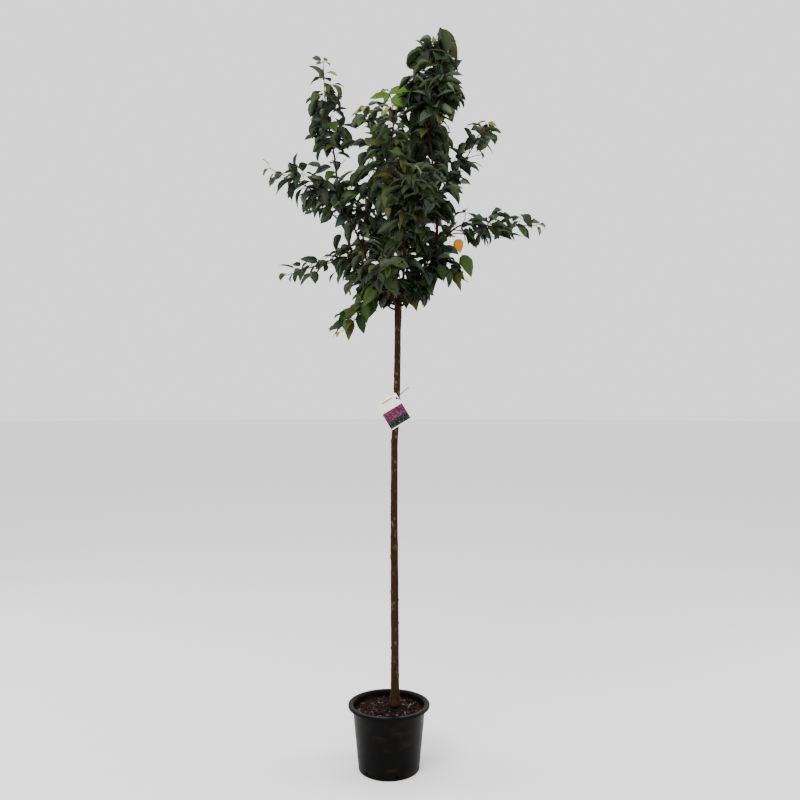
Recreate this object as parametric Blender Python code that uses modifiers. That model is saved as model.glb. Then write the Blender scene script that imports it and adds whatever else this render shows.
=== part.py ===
"""A kanzan cherry grafted as a standard, standing in a round nursery pot.

Metres, with +Z up. The origin is the centre of the pot's flat underside, the front of the tree
looks along -Y, and +X is to the right of the front view.
"""

import math

import bmesh
import bpy
from mathutils import Vector, noise
from mathutils.bvhtree import BVHTree

COLLECTION_NAME = "kanzan_cherry_standard"

# Clearance between pieces that touch on the real plant
GAP = 0.0003

# Pot: a tapering wall with a rolled rim, and drain holes just above its foot
POT_SIDES = 40
POT_HEIGHT = 0.263
POT_FOOT_RADIUS = 0.1235
POT_SHOULDER_RADIUS = 0.1475
POT_RIM_RADIUS = 0.165
POT_WALL = 0.003
POT_FLOOR = 0.004
POT_FOOT_ROUND = 0.006
POT_LIP_DEPTH = 0.011
DRAIN_HOLES = 6
DRAIN_HOLE_RADIUS = 0.006
DRAIN_HOLE_HEIGHT = 0.016
DRAIN_FIRST_BEARING = -75.0

# Potting mix: its level by the pot's wall and under the trunk, and the height of its lumps
MIX_LEVEL = 0.237
MIX_MOUND_LEVEL = 0.248
MIX_LUMP = 0.004
MIX_SEAT_RADIUS = 0.036
MIX_RINGS = 4

# Trunk: (height, sideways place, radius) from the root flare's flat cut to the fork
TRUNK_STATIONS = (
    (0.2483, 0.0240, 0.0280),
    (0.2600, 0.0240, 0.0235),
    (0.2760, 0.0240, 0.0196),
    (0.3050, 0.0240, 0.0174),
    (0.4400, 0.0241, 0.0166),
    (0.7200, 0.0227, 0.0160),
    (1.0000, 0.0208, 0.0148),
    (1.2900, 0.0216, 0.0138),
    (1.4200, 0.0270, 0.0134),
    (1.5500, 0.0330, 0.0131),
    (1.7500, 0.0350, 0.0131),
    (1.8400, 0.0368, 0.0146),
    (1.9100, 0.0384, 0.0158),
    (1.9450, 0.0390, 0.0125),
    (1.9600, 0.0392, 0.0070),
)
TRUNK_SIDES = 14
TRUNK_STEP = 0.085
FLARE_ROOTS = 4
FLARE_HEIGHT = 0.045
FLARE_DEPTH = 0.16

# Place on the trunk from which the reach of every bough and mass is measured
FORK_X = 0.037
FORK_HEIGHT = 1.945

# Masses of foliage, each along a line out from the fork: bearing in degrees from +X towards +Y,
# then reach and height of its inner end, the same of its outer end, and its girth at the two ends
MASSES = {
    "left_leader": (174, 0.250, 2.400, 0.322, 2.905, 0.105, 0.060),
    "right_leader": (-12, 0.130, 2.500, 0.138, 2.968, 0.140, 0.115),
    "middle_leader": (112, 0.050, 2.480, 0.080, 2.785, 0.110, 0.090),
    "back_leader": (58, 0.190, 2.370, 0.270, 2.800, 0.100, 0.055),
    "left_spur": (222, 0.120, 2.340, 0.170, 2.655, 0.085, 0.060),
    "front_spur": (262, 0.170, 2.330, 0.260, 2.600, 0.095, 0.060),
    "right_shoulder": (18, 0.200, 2.370, 0.410, 2.655, 0.085, 0.090),
    "left_wing": (196, 0.200, 2.235, 0.535, 2.405, 0.110, 0.068),
    "right_wing": (-6, 0.210, 2.200, 0.578, 2.175, 0.095, 0.045),
    "front_wing": (-82, 0.150, 2.190, 0.500, 2.310, 0.115, 0.060),
    "back_wing": (84, 0.150, 2.200, 0.520, 2.280, 0.120, 0.060),
    "left_low_wing": (168, 0.150, 2.080, 0.525, 2.010, 0.080, 0.050),
    "right_low_wing": (-28, 0.110, 2.050, 0.312, 1.930, 0.092, 0.062),
    "front_low_wing": (-104, 0.100, 2.030, 0.370, 1.930, 0.085, 0.055),
    "back_low_wing": (126, 0.100, 2.050, 0.410, 1.980, 0.090, 0.055),
    "left_hanging": (204, 0.075, 1.950, 0.265, 1.745, 0.050, 0.055),
    "upper_core": (80, 0.010, 2.250, 0.030, 2.560, 0.150, 0.140),
    "left_core": (188, 0.085, 2.090, 0.195, 2.360, 0.125, 0.110),
    "right_core": (2, 0.060, 2.090, 0.190, 2.390, 0.120, 0.110),
    "left_skirt": (150, 0.100, 2.030, 0.170, 1.900, 0.070, 0.055),
    "right_skirt": (-40, 0.088, 2.000, 0.125, 1.850, 0.070, 0.052),
}
MASS_LUMP = 0.24
MASS_LUMP_SIZE = 0.11
MASS_FULLNESS = 2.6
MASS_SMALL_GIRTH = 0.10
MASS_SMALL_SIDES = 12
MASS_SMALL_RINGS = 9
MASS_CLEARANCE = 0.0012
TRUNK_CLEARANCE = 0.028
FORK_CLEARANCE = 0.070

# Boughs, each named for the mass that it carries: bearing and height of its foot on the trunk,
# and its radius there
BOUGHS = {
    "left_leader": (176, 1.925, 0.0085),
    "right_leader": (-14, 1.932, 0.0090),
    "middle_leader": (100, 1.935, 0.0080),
    "left_wing": (214, 1.895, 0.0065),
    "right_wing": (8, 1.892, 0.0065),
    "front_wing": (-76, 1.915, 0.0065),
    "back_wing": (62, 1.900, 0.0065),
    "left_low_wing": (152, 1.880, 0.0055),
    "right_low_wing": (-42, 1.872, 0.0055),
    "front_low_wing": (-112, 1.872, 0.0050),
    "back_low_wing": (112, 1.878, 0.0050),
    "left_hanging": (190, 1.858, 0.0045),
}
BOUGH_TAPER = 0.62
BOUGH_ROOT_GAP = 0.0008
BOUGH_ROOT = 0.006
BOUGH_SPREAD = 0.34
BOUGH_RISE = 0.10
BOUGH_POINTS = 6
BOUGH_SAMPLES = 120
BOUGH_SURE_START = 0.012

# Label: a hanging card, and the wire tie that holds it to the trunk
LABEL_WIDTH = 0.091
LABEL_HEIGHT = 0.123
LABEL_THICKNESS = 0.001
LABEL_X = 0.0192
LABEL_Z = 1.444
LABEL_BACK_Y = -0.0172
LABEL_TURN = -31.0
LABEL_CORNER = 0.004
LABEL_HOLE_RADIUS = 0.0045
LABEL_HOLE_INSET_X = 0.008
LABEL_HOLE_INSET_Z = 0.0215
TIE_RADIUS = 0.0011
TIE_LOOP_RADIUS = 0.0158
TIE_BULGE = 0.0085
TIE_BULGE_BEARING = -66.0
TIE_BULGE_WIDTH = 26.0
TIE_START_BEARING = 22.0
TIE_TURN = 350.0
TIE_START_Z = 1.5130
TIE_END_Z = 1.4890
TIE_TAIL = Vector((0.034, -0.004, 0.029))
TIE_STEPS = 28

# Base colour, roughness and metallic value of each material
FINISHES = {
    "pot_plastic": ((0.012, 0.012, 0.013), 0.55, 0.0),
    "potting_mix": ((0.030, 0.018, 0.013), 0.95, 0.0),
    "bark": ((0.130, 0.075, 0.048), 0.75, 0.0),
    "foliage": ((0.028, 0.060, 0.018), 0.60, 0.0),
    "label_card": ((0.420, 0.300, 0.360), 0.45, 0.0),
    "tie_wire": ((0.020, 0.020, 0.020), 0.60, 0.0),
}


def clear_scene():
    """Removes every object, so that the model starts from an empty scene."""
    for item in list(bpy.data.objects):
        bpy.data.objects.remove(item, do_unlink=True)


def new_collection(name, hidden=False):
    """Makes a collection in the scene."""
    made = bpy.data.collections.new(name)
    made.hide_render = hidden
    bpy.context.scene.collection.children.link(made)
    return made


def finish(name):
    """Gives the named material, made the first time that it is asked for."""
    found = bpy.data.materials.get(name)
    if found is None:
        colour, roughness, metallic = FINISHES[name]
        found = bpy.data.materials.new(name)
        found.use_nodes = True
        shader = found.node_tree.nodes["Principled BSDF"]
        shader.inputs["Base Color"].default_value = (*colour, 1.0)
        shader.inputs["Roughness"].default_value = roughness
        shader.inputs["Metallic"].default_value = metallic
        found.diffuse_color = (*colour, 1.0)
    return found


def add_object(name, data, collection, material=None):
    """Puts mesh or curve data into the scene as an object with its own material."""
    made = bpy.data.objects.new(name, data)
    collection.objects.link(made)
    if material is not None:
        data.materials.append(finish(material))
    return made


def mesh_from(bm, name):
    """Writes a bmesh into new smooth-shaded mesh data, with its faces pointing out."""
    bmesh.ops.recalc_face_normals(bm, faces=bm.faces)
    data = bpy.data.meshes.new(name)
    bm.to_mesh(data)
    bm.free()
    data.shade_smooth()
    data.set_sharp_from_angle(angle=math.radians(40))
    return data


def mixed(start, end, share):
    """The value this share of the way from start to end."""
    return start + (end - start) * share


def out_from_fork(bearing, reach, height):
    """The point at this bearing, reach and height from the trunk's upper end."""
    turn = math.radians(bearing)
    return Vector((FORK_X + reach * math.cos(turn), reach * math.sin(turn), height))


def ring(centre, radius, sides, share=None):
    """A level ring of points, whose radius may vary round it by a function of the angle."""
    points = []
    for side in range(sides):
        angle = math.tau * side / sides
        wide = radius if share is None else radius * share(angle)
        points.append(centre + Vector((wide * math.cos(angle), wide * math.sin(angle), 0)))
    return points


def loft(rings, name):
    """A closed solid through unlike rings of the same number of points, flat at both ends."""
    bm = bmesh.new()
    rows = [[bm.verts.new(point) for point in row] for row in rings]
    for low, high in zip(rows, rows[1:]):
        for side in range(len(low)):
            after = (side + 1) % len(low)
            bm.faces.new((low[side], low[after], high[after], high[side]))
    bm.faces.new(list(reversed(rows[0])))
    bm.faces.new(rows[-1])
    return mesh_from(bm, name)


def pot_profile():
    """Half of the pot's section, from the inside of the floor round the rim to the underside."""
    top = POT_HEIGHT
    inside = POT_SHOULDER_RADIUS - POT_WALL
    rim_inside = POT_RIM_RADIUS - POT_WALL
    return (
        (0.0, POT_FLOOR),
        (POT_FOOT_RADIUS - POT_WALL - POT_FOOT_ROUND, POT_FLOOR),
        (POT_FOOT_RADIUS - POT_WALL, POT_FLOOR + POT_FOOT_ROUND),
        (inside, top - 0.010),
        (inside + 0.002, top - 0.003),
        (inside + 0.006, top),
        (POT_RIM_RADIUS - 0.005, top),
        (POT_RIM_RADIUS - 0.001, top - 0.002),
        (POT_RIM_RADIUS, top - 0.006),
        (POT_RIM_RADIUS, top - POT_LIP_DEPTH),
        (rim_inside, top - POT_LIP_DEPTH),
        (rim_inside, top - 0.006),
        (rim_inside - 0.003, top - POT_WALL),
        (POT_SHOULDER_RADIUS + 0.003, top - POT_WALL),
        (POT_SHOULDER_RADIUS, top - 0.008),
        (POT_FOOT_RADIUS, POT_FOOT_ROUND),
        (POT_FOOT_RADIUS - 0.3 * POT_FOOT_ROUND, 0.3 * POT_FOOT_ROUND),
        (POT_FOOT_RADIUS - POT_FOOT_ROUND, 0.0),
        (0.0, 0.0),
    )


def build_pot(collection, cutters):
    """The turned pot, with drain holes bored through the foot of its wall."""
    data = bpy.data.meshes.new("pot")
    profile = pot_profile()
    points = [(radius, 0.0, height) for radius, height in profile]
    edges = [(place, place + 1) for place in range(len(profile) - 1)]
    data.from_pydata(points, edges, [])
    pot = add_object("pot", data, collection, "pot_plastic")

    turned = pot.modifiers.new("turned", "SCREW")
    turned.steps = POT_SIDES
    turned.render_steps = POT_SIDES
    turned.use_merge_vertices = True
    turned.merge_threshold = 0.0001
    turned.use_smooth_shade = True

    for number in range(DRAIN_HOLES):
        bearing = math.radians(DRAIN_FIRST_BEARING + 360.0 * number / DRAIN_HOLES)
        bm = bmesh.new()
        bmesh.ops.create_cone(
            bm,
            cap_ends=True,
            segments=10,
            radius1=DRAIN_HOLE_RADIUS,
            radius2=DRAIN_HOLE_RADIUS,
            depth=4 * POT_WALL,
        )
        cutter = add_object(f"drain_cutter_{number}", mesh_from(bm, "drain_cutter"), cutters)
        cutter.location = (
            POT_FOOT_RADIUS * math.cos(bearing),
            POT_FOOT_RADIUS * math.sin(bearing),
            DRAIN_HOLE_HEIGHT,
        )
        cutter.rotation_euler = (0.0, math.pi / 2, bearing)
        cutter.hide_render = True
        cutter.display_type = "WIRE"
        bored = pot.modifiers.new(f"drain_{number}", "BOOLEAN")
        bored.operation = "DIFFERENCE"
        bored.object = cutter


def pot_inside(height):
    """The radius of the pot's inner wall at this height."""
    foot = POT_FLOOR + POT_FOOT_ROUND
    share = (height - foot) / (POT_HEIGHT - 0.010 - foot)
    return mixed(POT_FOOT_RADIUS, POT_SHOULDER_RADIUS, share) - POT_WALL


def build_potting_mix(collection):
    """The mix that fills the pot, lumpy on top, with a level seat for the trunk."""
    clearance = 2 * GAP
    foot = POT_FLOOR + POT_FOOT_ROUND
    seat = Vector((TRUNK_STATIONS[0][1], 0.0, MIX_MOUND_LEVEL))
    outer = Vector((0.0, 0.0, MIX_LEVEL))
    outer_radius = pot_inside(MIX_LEVEL) - clearance
    rings = [
        ring(
            Vector((0.0, 0.0, POT_FLOOR + clearance)),
            POT_FOOT_RADIUS - POT_WALL - POT_FOOT_ROUND - clearance,
            POT_SIDES,
        ),
        ring(Vector((0.0, 0.0, foot)), pot_inside(foot) - clearance, POT_SIDES),
        ring(outer, outer_radius, POT_SIDES),
    ]
    for number in range(1, MIX_RINGS + 1):
        share = number / MIX_RINGS
        centre = outer.lerp(seat, share)
        row = ring(centre, mixed(outer_radius, MIX_SEAT_RADIUS, share), POT_SIDES)
        if share < 1.0:
            for point in row:
                point.z += MIX_LUMP * noise.noise(point * 38.0)
        rings.append(row)
    add_object("potting_mix", loft(rings, "potting_mix"), collection, "potting_mix")


def trunk_at(height):
    """The trunk's centre and radius at this height, along a smooth line through its stations."""
    last = len(TRUNK_STATIONS) - 1
    for place in range(last):
        if height <= TRUNK_STATIONS[place + 1][0] or place == last - 1:
            low, high = TRUNK_STATIONS[place], TRUNK_STATIONS[place + 1]
            share = (height - low[0]) / (high[0] - low[0])
            eased = share * share * (3.0 - 2.0 * share)
            centre = Vector((mixed(low[1], high[1], eased), 0.0, height))
            return centre, mixed(low[2], high[2], share)


def build_trunk(collection):
    """The clear stem: root flare, slight lean, taper and the swollen head at the graft."""
    heights = []
    for low, high in zip(TRUNK_STATIONS, TRUNK_STATIONS[1:]):
        steps = max(1, round((high[0] - low[0]) / TRUNK_STEP))
        heights += [mixed(low[0], high[0], step / steps) for step in range(steps)]
    heights.append(TRUNK_STATIONS[-1][0])
    rings = []
    for height in heights:
        centre, radius = trunk_at(height)
        over_cut = (height - heights[0]) / FLARE_HEIGHT
        lobe = FLARE_DEPTH * math.exp(-over_cut * over_cut)
        rings.append(
            ring(
                centre,
                radius,
                TRUNK_SIDES,
                lambda angle, lobe=lobe: 1.0 + lobe * math.cos(FLARE_ROOTS * angle + 0.6),
            )
        )
    add_object("trunk", loft(rings, "trunk"), collection, "bark")


def mass_line(name):
    """The inner and outer end of a mass's axis, with its girth at each."""
    bearing, reach, height, outer_reach, outer_height, girth, outer_girth = MASSES[name]
    inner = out_from_fork(bearing, reach, height)
    outer = out_from_fork(bearing, outer_reach, outer_height)
    return inner, outer, girth, outer_girth


def uneven_mass(name, number):
    """A closed lumpy spindle, blunt at its inner end and narrower at its tip."""
    inner, outer, girth, outer_girth = mass_line(name)
    along = (outer - inner).normalized()
    across = along.orthogonal().normalized()
    upward = along.cross(across)
    bm = bmesh.new()
    if girth < MASS_SMALL_GIRTH:
        bmesh.ops.create_uvsphere(
            bm, u_segments=MASS_SMALL_SIDES, v_segments=MASS_SMALL_RINGS, radius=1.0
        )
    else:
        bmesh.ops.create_icosphere(bm, subdivisions=3, radius=1.0)
    for vert in bm.verts:
        x, y, z = vert.co
        share = (z + 1.0) / 2.0
        round_part = math.hypot(x, y)
        full = (1.0 - abs(z) ** MASS_FULLNESS) ** (1.0 / MASS_FULLNESS) if abs(z) < 1.0 else 0.0
        wide = mixed(girth, outer_girth, share) * full
        turned = (across * x + upward * y) / max(round_part, 1e-6)
        place = inner.lerp(outer, share) + turned * wide
        lump = noise.fractal(place / MASS_LUMP_SIZE + Vector((0, 0, 7.0 * number)), 1.0, 2.0, 2)
        vert.co = place + turned * wide * MASS_LUMP * lump
        vert.co += along * (z * girth * MASS_LUMP * 0.5 * lump)
    return bm


def closest_stretch(first, second, samples=13):
    """Where two tapering round lines come nearest: a point on each, and the room between them."""
    best = None
    for step in range(samples):
        share = step / (samples - 1)
        one = first[0].lerp(first[1], share)
        one_girth = mixed(first[2], first[3], share)
        for other_step in range(samples):
            other_share = other_step / (samples - 1)
            two = second[0].lerp(second[1], other_share)
            two_girth = mixed(second[2], second[3], other_share)
            room = (two - one).length - one_girth - two_girth
            if best is None or room < best[0]:
                best = (room, one, one_girth, two, two_girth)
    return best


def trim(bm, place, normal):
    """Cuts away what lies beyond a plane, and closes the cut with a flat face."""
    geometry = bm.verts[:] + bm.edges[:] + bm.faces[:]
    cut = bmesh.ops.bisect_plane(
        bm, geom=geometry, dist=1e-6, plane_co=place, plane_no=normal, clear_outer=True
    )
    rim = [item for item in cut["geom_cut"] if isinstance(item, bmesh.types.BMEdge)]
    if rim:
        bmesh.ops.holes_fill(bm, edges=rim, sides=0)
        bmesh.ops.dissolve_degenerate(bm, dist=1e-5, edges=bm.edges)
        bmesh.ops.triangulate(bm, faces=[face for face in bm.faces if len(face.verts) > 3])


def part_masses(solids):
    """Trims the masses along planes between neighbours, and clear of the trunk and its fork."""
    names = list(solids)
    lines = {name: mass_line(name) for name in names}
    fork = Vector((FORK_X, 0.0, FORK_HEIGHT))
    stem = Vector((FORK_X, 0.0, TRUNK_STATIONS[0][0]))
    free_lines = (
        (stem, fork, TRUNK_CLEARANCE, TRUNK_CLEARANCE),
        (fork, fork, FORK_CLEARANCE, FORK_CLEARANCE),
    )
    swell = 1.0 + MASS_LUMP
    for place, name in enumerate(names):
        for other in names[place + 1 :]:
            room, one, one_girth, two, two_girth = closest_stretch(lines[name], lines[other])
            if room > (one_girth + two_girth) * (swell - 1.0):
                continue
            toward = (two - one).normalized()
            middle = one.lerp(two, one_girth / (one_girth + two_girth))
            trim(solids[name], middle - toward * MASS_CLEARANCE / 2, toward)
            trim(solids[other], middle + toward * MASS_CLEARANCE / 2, -toward)
        for free in free_lines:
            one, two = closest_stretch(lines[name], free)[1::2]
            toward = (two - one).normalized()
            trim(solids[name], two - toward * free[2], toward)


def build_masses(collection):
    """Every mass of foliage, and for each a search tree that the boughs are measured against."""
    solids = {name: uneven_mass(name, number) for number, name in enumerate(MASSES)}
    part_masses(solids)
    walls = {}
    for name, bm in solids.items():
        walls[name] = BVHTree.FromBMesh(bm)
        add_object(f"foliage_{name}", mesh_from(bm, f"foliage_{name}"), collection, "foliage")
    return walls


def bough_line(name):
    """The smooth line of a bough, from the trunk's side to well inside the mass it carries."""
    bearing, height, _ = BOUGHS[name]
    centre, radius = trunk_at(height)
    turn = math.radians(bearing)
    outward = Vector((math.cos(turn), math.sin(turn), 0.0))
    foot = centre + outward * (radius + BOUGH_ROOT_GAP)
    start = foot + outward * BOUGH_ROOT
    inner, outer, _, _ = mass_line(name)
    end = inner.lerp(outer, 0.2)
    span = (end - start).length
    handle = start + outward * span * BOUGH_SPREAD + Vector((0.0, 0.0, span * BOUGH_RISE))
    other_handle = end - (outer - inner).normalized() * span * BOUGH_SPREAD
    line = [foot]
    for step in range(BOUGH_SAMPLES + 1):
        share = step / BOUGH_SAMPLES
        rest = 1.0 - share
        line.append(
            start * rest**3
            + handle * 3 * rest**2 * share
            + other_handle * 3 * rest * share**2
            + end * share**3
        )
    return line


def build_boughs(collection, walls):
    """Each bough as one tapering limb that stops where it enters a mass."""
    for name, (_, _, radius) in BOUGHS.items():
        line = bough_line(name)
        last = len(line) - 1
        for place, point in enumerate(line):
            if (point - line[0]).length < BOUGH_SURE_START:
                continue
            nearest = min(wall.find_nearest(point)[3] for wall in walls.values())
            if nearest < radius * BOUGH_TAPER + 2 * GAP:
                last = place - 1
                break
        curve = bpy.data.curves.new(f"bough_{name}", "CURVE")
        curve.dimensions = "3D"
        curve.bevel_depth = radius
        curve.bevel_resolution = 2
        curve.use_fill_caps = True
        spline = curve.splines.new("POLY")
        spline.points.add(BOUGH_POINTS)
        chosen = [0] + [round(mixed(1, last, step / (BOUGH_POINTS - 1))) for step in range(BOUGH_POINTS)]
        for number, place in enumerate(chosen):
            spline.points[number].co = (*line[place], 1.0)
            spline.points[number].radius = mixed(1.0, BOUGH_TAPER, number / BOUGH_POINTS)
        add_object(f"bough_{name}", curve, collection, "bark")


def build_label(collection, cutters):
    """The hanging card: a rounded sheet of plastic with a punched hole near one corner."""
    outline = bpy.data.curves.new("label", "CURVE")
    outline.dimensions = "2D"
    outline.fill_mode = "BOTH"
    outline.extrude = LABEL_THICKNESS / 2
    spline = outline.splines.new("POLY")
    points = []
    for number, (side, up) in enumerate(((1, 1), (-1, 1), (-1, -1), (1, -1))):
        middle_x = side * (LABEL_WIDTH / 2 - LABEL_CORNER)
        middle_y = up * (LABEL_HEIGHT / 2 - LABEL_CORNER)
        for step in range(3):
            angle = math.pi / 2 * (number + step / 2)
            points.append(
                (
                    middle_x + LABEL_CORNER * math.cos(angle),
                    middle_y + LABEL_CORNER * math.sin(angle),
                    0.0,
                    1.0,
                )
            )
    spline.points.add(len(points) - 1)
    for point, place in zip(spline.points, points):
        point.co = place
    spline.use_cyclic_u = True
    guide = add_object("label_outline", outline, cutters)
    flat = bpy.data.meshes.new_from_object(
        guide.evaluated_get(bpy.context.evaluated_depsgraph_get())
    )
    bpy.data.objects.remove(guide, do_unlink=True)
    bm = bmesh.new()
    bm.from_mesh(flat)
    bmesh.ops.remove_doubles(bm, verts=bm.verts, dist=1e-5)
    bm.to_mesh(flat)
    bm.free()
    flat.name = "label"
    flat.materials.clear()
    label = add_object("label", flat, collection, "label_card")
    label.location = (LABEL_X, LABEL_BACK_Y - LABEL_THICKNESS / 2, LABEL_Z)
    label.rotation_euler = (math.pi / 2, math.radians(LABEL_TURN), 0.0)

    bm = bmesh.new()
    bmesh.ops.create_cone(
        bm,
        cap_ends=True,
        segments=12,
        radius1=LABEL_HOLE_RADIUS,
        radius2=LABEL_HOLE_RADIUS,
        depth=6 * LABEL_THICKNESS,
    )
    cutter = add_object("label_hole_cutter", mesh_from(bm, "label_hole_cutter"), cutters)
    cutter.parent = label
    cutter.location = (
        LABEL_WIDTH / 2 - LABEL_HOLE_INSET_X,
        LABEL_HEIGHT / 2 - LABEL_HOLE_INSET_Z,
        0.0,
    )
    cutter.hide_render = True
    cutter.display_type = "WIRE"
    punched = label.modifiers.new("punched", "BOOLEAN")
    punched.operation = "DIFFERENCE"
    punched.object = cutter


def tie_line():
    """The tie's line: a tail, then one falling turn round the trunk and through the card."""
    centre, _ = trunk_at((TIE_START_Z + TIE_END_Z) / 2)
    line = []
    for step in range(TIE_STEPS + 1):
        share = step / TIE_STEPS
        bearing = TIE_START_BEARING + TIE_TURN * share
        off_bulge = (bearing - 360.0 - TIE_BULGE_BEARING) / TIE_BULGE_WIDTH
        radius = TIE_LOOP_RADIUS + TIE_BULGE * math.exp(-off_bulge * off_bulge)
        turn = math.radians(bearing)
        line.append(
            Vector(
                (
                    centre.x + radius * math.cos(turn),
                    radius * math.sin(turn),
                    mixed(TIE_START_Z, TIE_END_Z, share),
                )
            )
        )
    tail = [line[0] + TIE_TAIL * share for share in (1.0, 0.66, 0.33)]
    return tail + line


def build_tie(collection):
    """The wire tie, as one round wire."""
    curve = bpy.data.curves.new("label_tie", "CURVE")
    curve.dimensions = "3D"
    curve.bevel_depth = TIE_RADIUS
    curve.bevel_resolution = 1
    curve.use_fill_caps = True
    line = tie_line()
    spline = curve.splines.new("POLY")
    spline.points.add(len(line) - 1)
    for point, place in zip(spline.points, line):
        point.co = (*place, 1.0)
    add_object("label_tie", curve, collection, "tie_wire")


def main():
    """Builds the whole plant, pot and label."""
    clear_scene()
    collection = new_collection(COLLECTION_NAME)
    cutters = new_collection("cutters", hidden=True)
    build_pot(collection, cutters)
    build_potting_mix(collection)
    build_trunk(collection)
    walls = build_masses(collection)
    build_boughs(collection, walls)
    build_label(collection, cutters)
    build_tie(collection)


main()
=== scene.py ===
"""A kanzan cherry grafted as a standard, in a round nursery pot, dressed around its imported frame.

Metres, with +Z up. The origin is the centre of the pot's underside and the front looks along -Y.
"""

import math
import random

import bmesh
import bpy
import numpy as np
from bpy.props import FloatProperty, FloatVectorProperty, IntProperty, PointerProperty
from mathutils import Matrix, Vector, noise
from mathutils.bvhtree import BVHTree


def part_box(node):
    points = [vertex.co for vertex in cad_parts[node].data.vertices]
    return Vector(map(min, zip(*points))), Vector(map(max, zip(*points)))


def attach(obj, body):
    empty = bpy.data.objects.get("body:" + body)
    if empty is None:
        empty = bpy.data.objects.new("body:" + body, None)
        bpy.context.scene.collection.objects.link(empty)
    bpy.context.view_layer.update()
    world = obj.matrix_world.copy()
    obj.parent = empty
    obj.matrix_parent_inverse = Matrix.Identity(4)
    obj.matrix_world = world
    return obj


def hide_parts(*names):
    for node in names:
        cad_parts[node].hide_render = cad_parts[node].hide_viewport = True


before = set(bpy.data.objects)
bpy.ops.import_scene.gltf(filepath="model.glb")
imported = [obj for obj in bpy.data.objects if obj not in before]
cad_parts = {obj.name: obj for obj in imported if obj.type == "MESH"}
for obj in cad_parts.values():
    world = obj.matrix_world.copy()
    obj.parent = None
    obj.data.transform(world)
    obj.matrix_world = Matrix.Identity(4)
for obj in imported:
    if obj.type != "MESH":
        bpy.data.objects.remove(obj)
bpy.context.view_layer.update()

bl_info = {
    "name": "Potted cherry standard",
    "version": (1, 0, 0),
    "blender": (4, 5, 0),
    "location": "View3D > Sidebar > Cherry",
    "description": "Dresses a potted cherry tree with bark, twigs, leaves, pot, mix and label",
    "category": "Add Mesh",
}

BODY = "root"
GOLDEN_ANGLE = math.radians(137.5)

# Pot: its top and rim come from the frame, the rest are real sizes
POT_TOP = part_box("pot")[1].z
POT_RIM_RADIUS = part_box("pot")[1].x
POT_FOOT_RADIUS = 0.1235
POT_SHOULDER_RADIUS = 0.1475
POT_LIP_DEPTH = 0.011
POT_LIP_ROUND = 0.0008
POT_FLOOR = 0.004
POT_FOOT_ROUND = 0.006
POT_THROAT_ROUND = 0.009
POT_THROAT_SET = 0.007
POT_RIM_UNDER_ROUND = 0.002
POT_NECK_ROUND = 0.004
POT_GROOVE = ((0.0004, 0.0200), (0.0014, 0.0215))
DRAIN_HOLES = 6
DRAIN_HOLE_RADIUS = 0.006
DRAIN_HOLE_HEIGHT = 0.016
DRAIN_FIRST_BEARING = -75.0

# Potting mix: its level by the wall and under the trunk, and the lump in front of the stem
MIX_LEVEL = 0.237
MIX_MOUND_LEVEL = 0.248
MIX_MOUND_X = 0.024
MIX_LUMP_PLACE = Vector((-0.012, -0.078))
MIX_LUMP_SIZE = 0.030
MIX_LUMP_HEIGHT = 0.006

# Potting mix: how rough it is, the rings of its mesh, and its distances from the pot and the stem
MIX_ROUGHNESS = 0.0035
MIX_RINGS = 30
MIX_GAP = 0.0032
MIX_FOOT_GAP = 0.0065
MIX_EDGE = 0.006
STEM_CLEARANCE = 0.030

# Bark chips: how thick and how high they lie, how uneven and tilted, their colours and kinds
CHIP_SEED = 5
CHIP_THICKNESS = (0.0015, 0.0035)
CHIP_LIFT = 0.0012
CHIP_NARROWEST = 0.003
CHIP_BEVEL = 0.16
CHIP_WARP = 0.25
CHIP_LEAN = 0.22
CHIP_ROLL = 0.30
CHIP_TINTS = (
    (0.007, 0.0045, 0.004),
    (0.016, 0.006, 0.006),
    (0.024, 0.013, 0.011),
    (0.085, 0.065, 0.055),
)
CHIP_KINDS = (0, 0, 0, 1, 1, 2, 2, 3)

# Trunk: height, sideways place and radius, from the root flare to the graft
TRUNK_STATIONS = (
    (0.2483, 0.0240, 0.0280),
    (0.2600, 0.0240, 0.0235),
    (0.2760, 0.0240, 0.0196),
    (0.3050, 0.0240, 0.0174),
    (0.4400, 0.0241, 0.0166),
    (0.7200, 0.0227, 0.0160),
    (1.0000, 0.0208, 0.0148),
    (1.2900, 0.0216, 0.0138),
    (1.4200, 0.0270, 0.0134),
    (1.5500, 0.0330, 0.0131),
    (1.7500, 0.0350, 0.0131),
    (1.8400, 0.0368, 0.0146),
    (1.9100, 0.0384, 0.0158),
    (1.9450, 0.0390, 0.0125),
    (1.9600, 0.0392, 0.0070),
)

# Root flare: its number of roots, its height, and its depth as a share of the radius
FLARE_ROOTS = 4
FLARE_HEIGHT = 0.045
FLARE_DEPTH = 0.16

# Mesh of the trunk before it is made finer: steps round it, and cuts up it
TRUNK_SIDES = 30
TRUNK_CUTS = 100

# The bark's breathing pores: the stretch of trunk that has them, half width and half height
LENTICEL_SPAN = (0.30, 1.93)
LENTICEL_WIDTH = (0.0016, 0.0050)
LENTICEL_TALL = 0.0008

# Seed of the pores, and depth of the bark's fine ripple
BARK_SEED = 7
RIPPLE_DEPTH = 0.00035

# Ridge over a scar and the hollow in it: heights, widths as shares of its size, and their tints
SCAR_BROW = 0.0008
SCAR_BROW_WIDTH = 0.35
SCAR_BROW_TINT = 0.6
SCAR_HEART_WIDTH = 0.55
SCAR_HEART_DEPTH = 0.45
SCAR_HEART_TINT = 1.3

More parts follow.
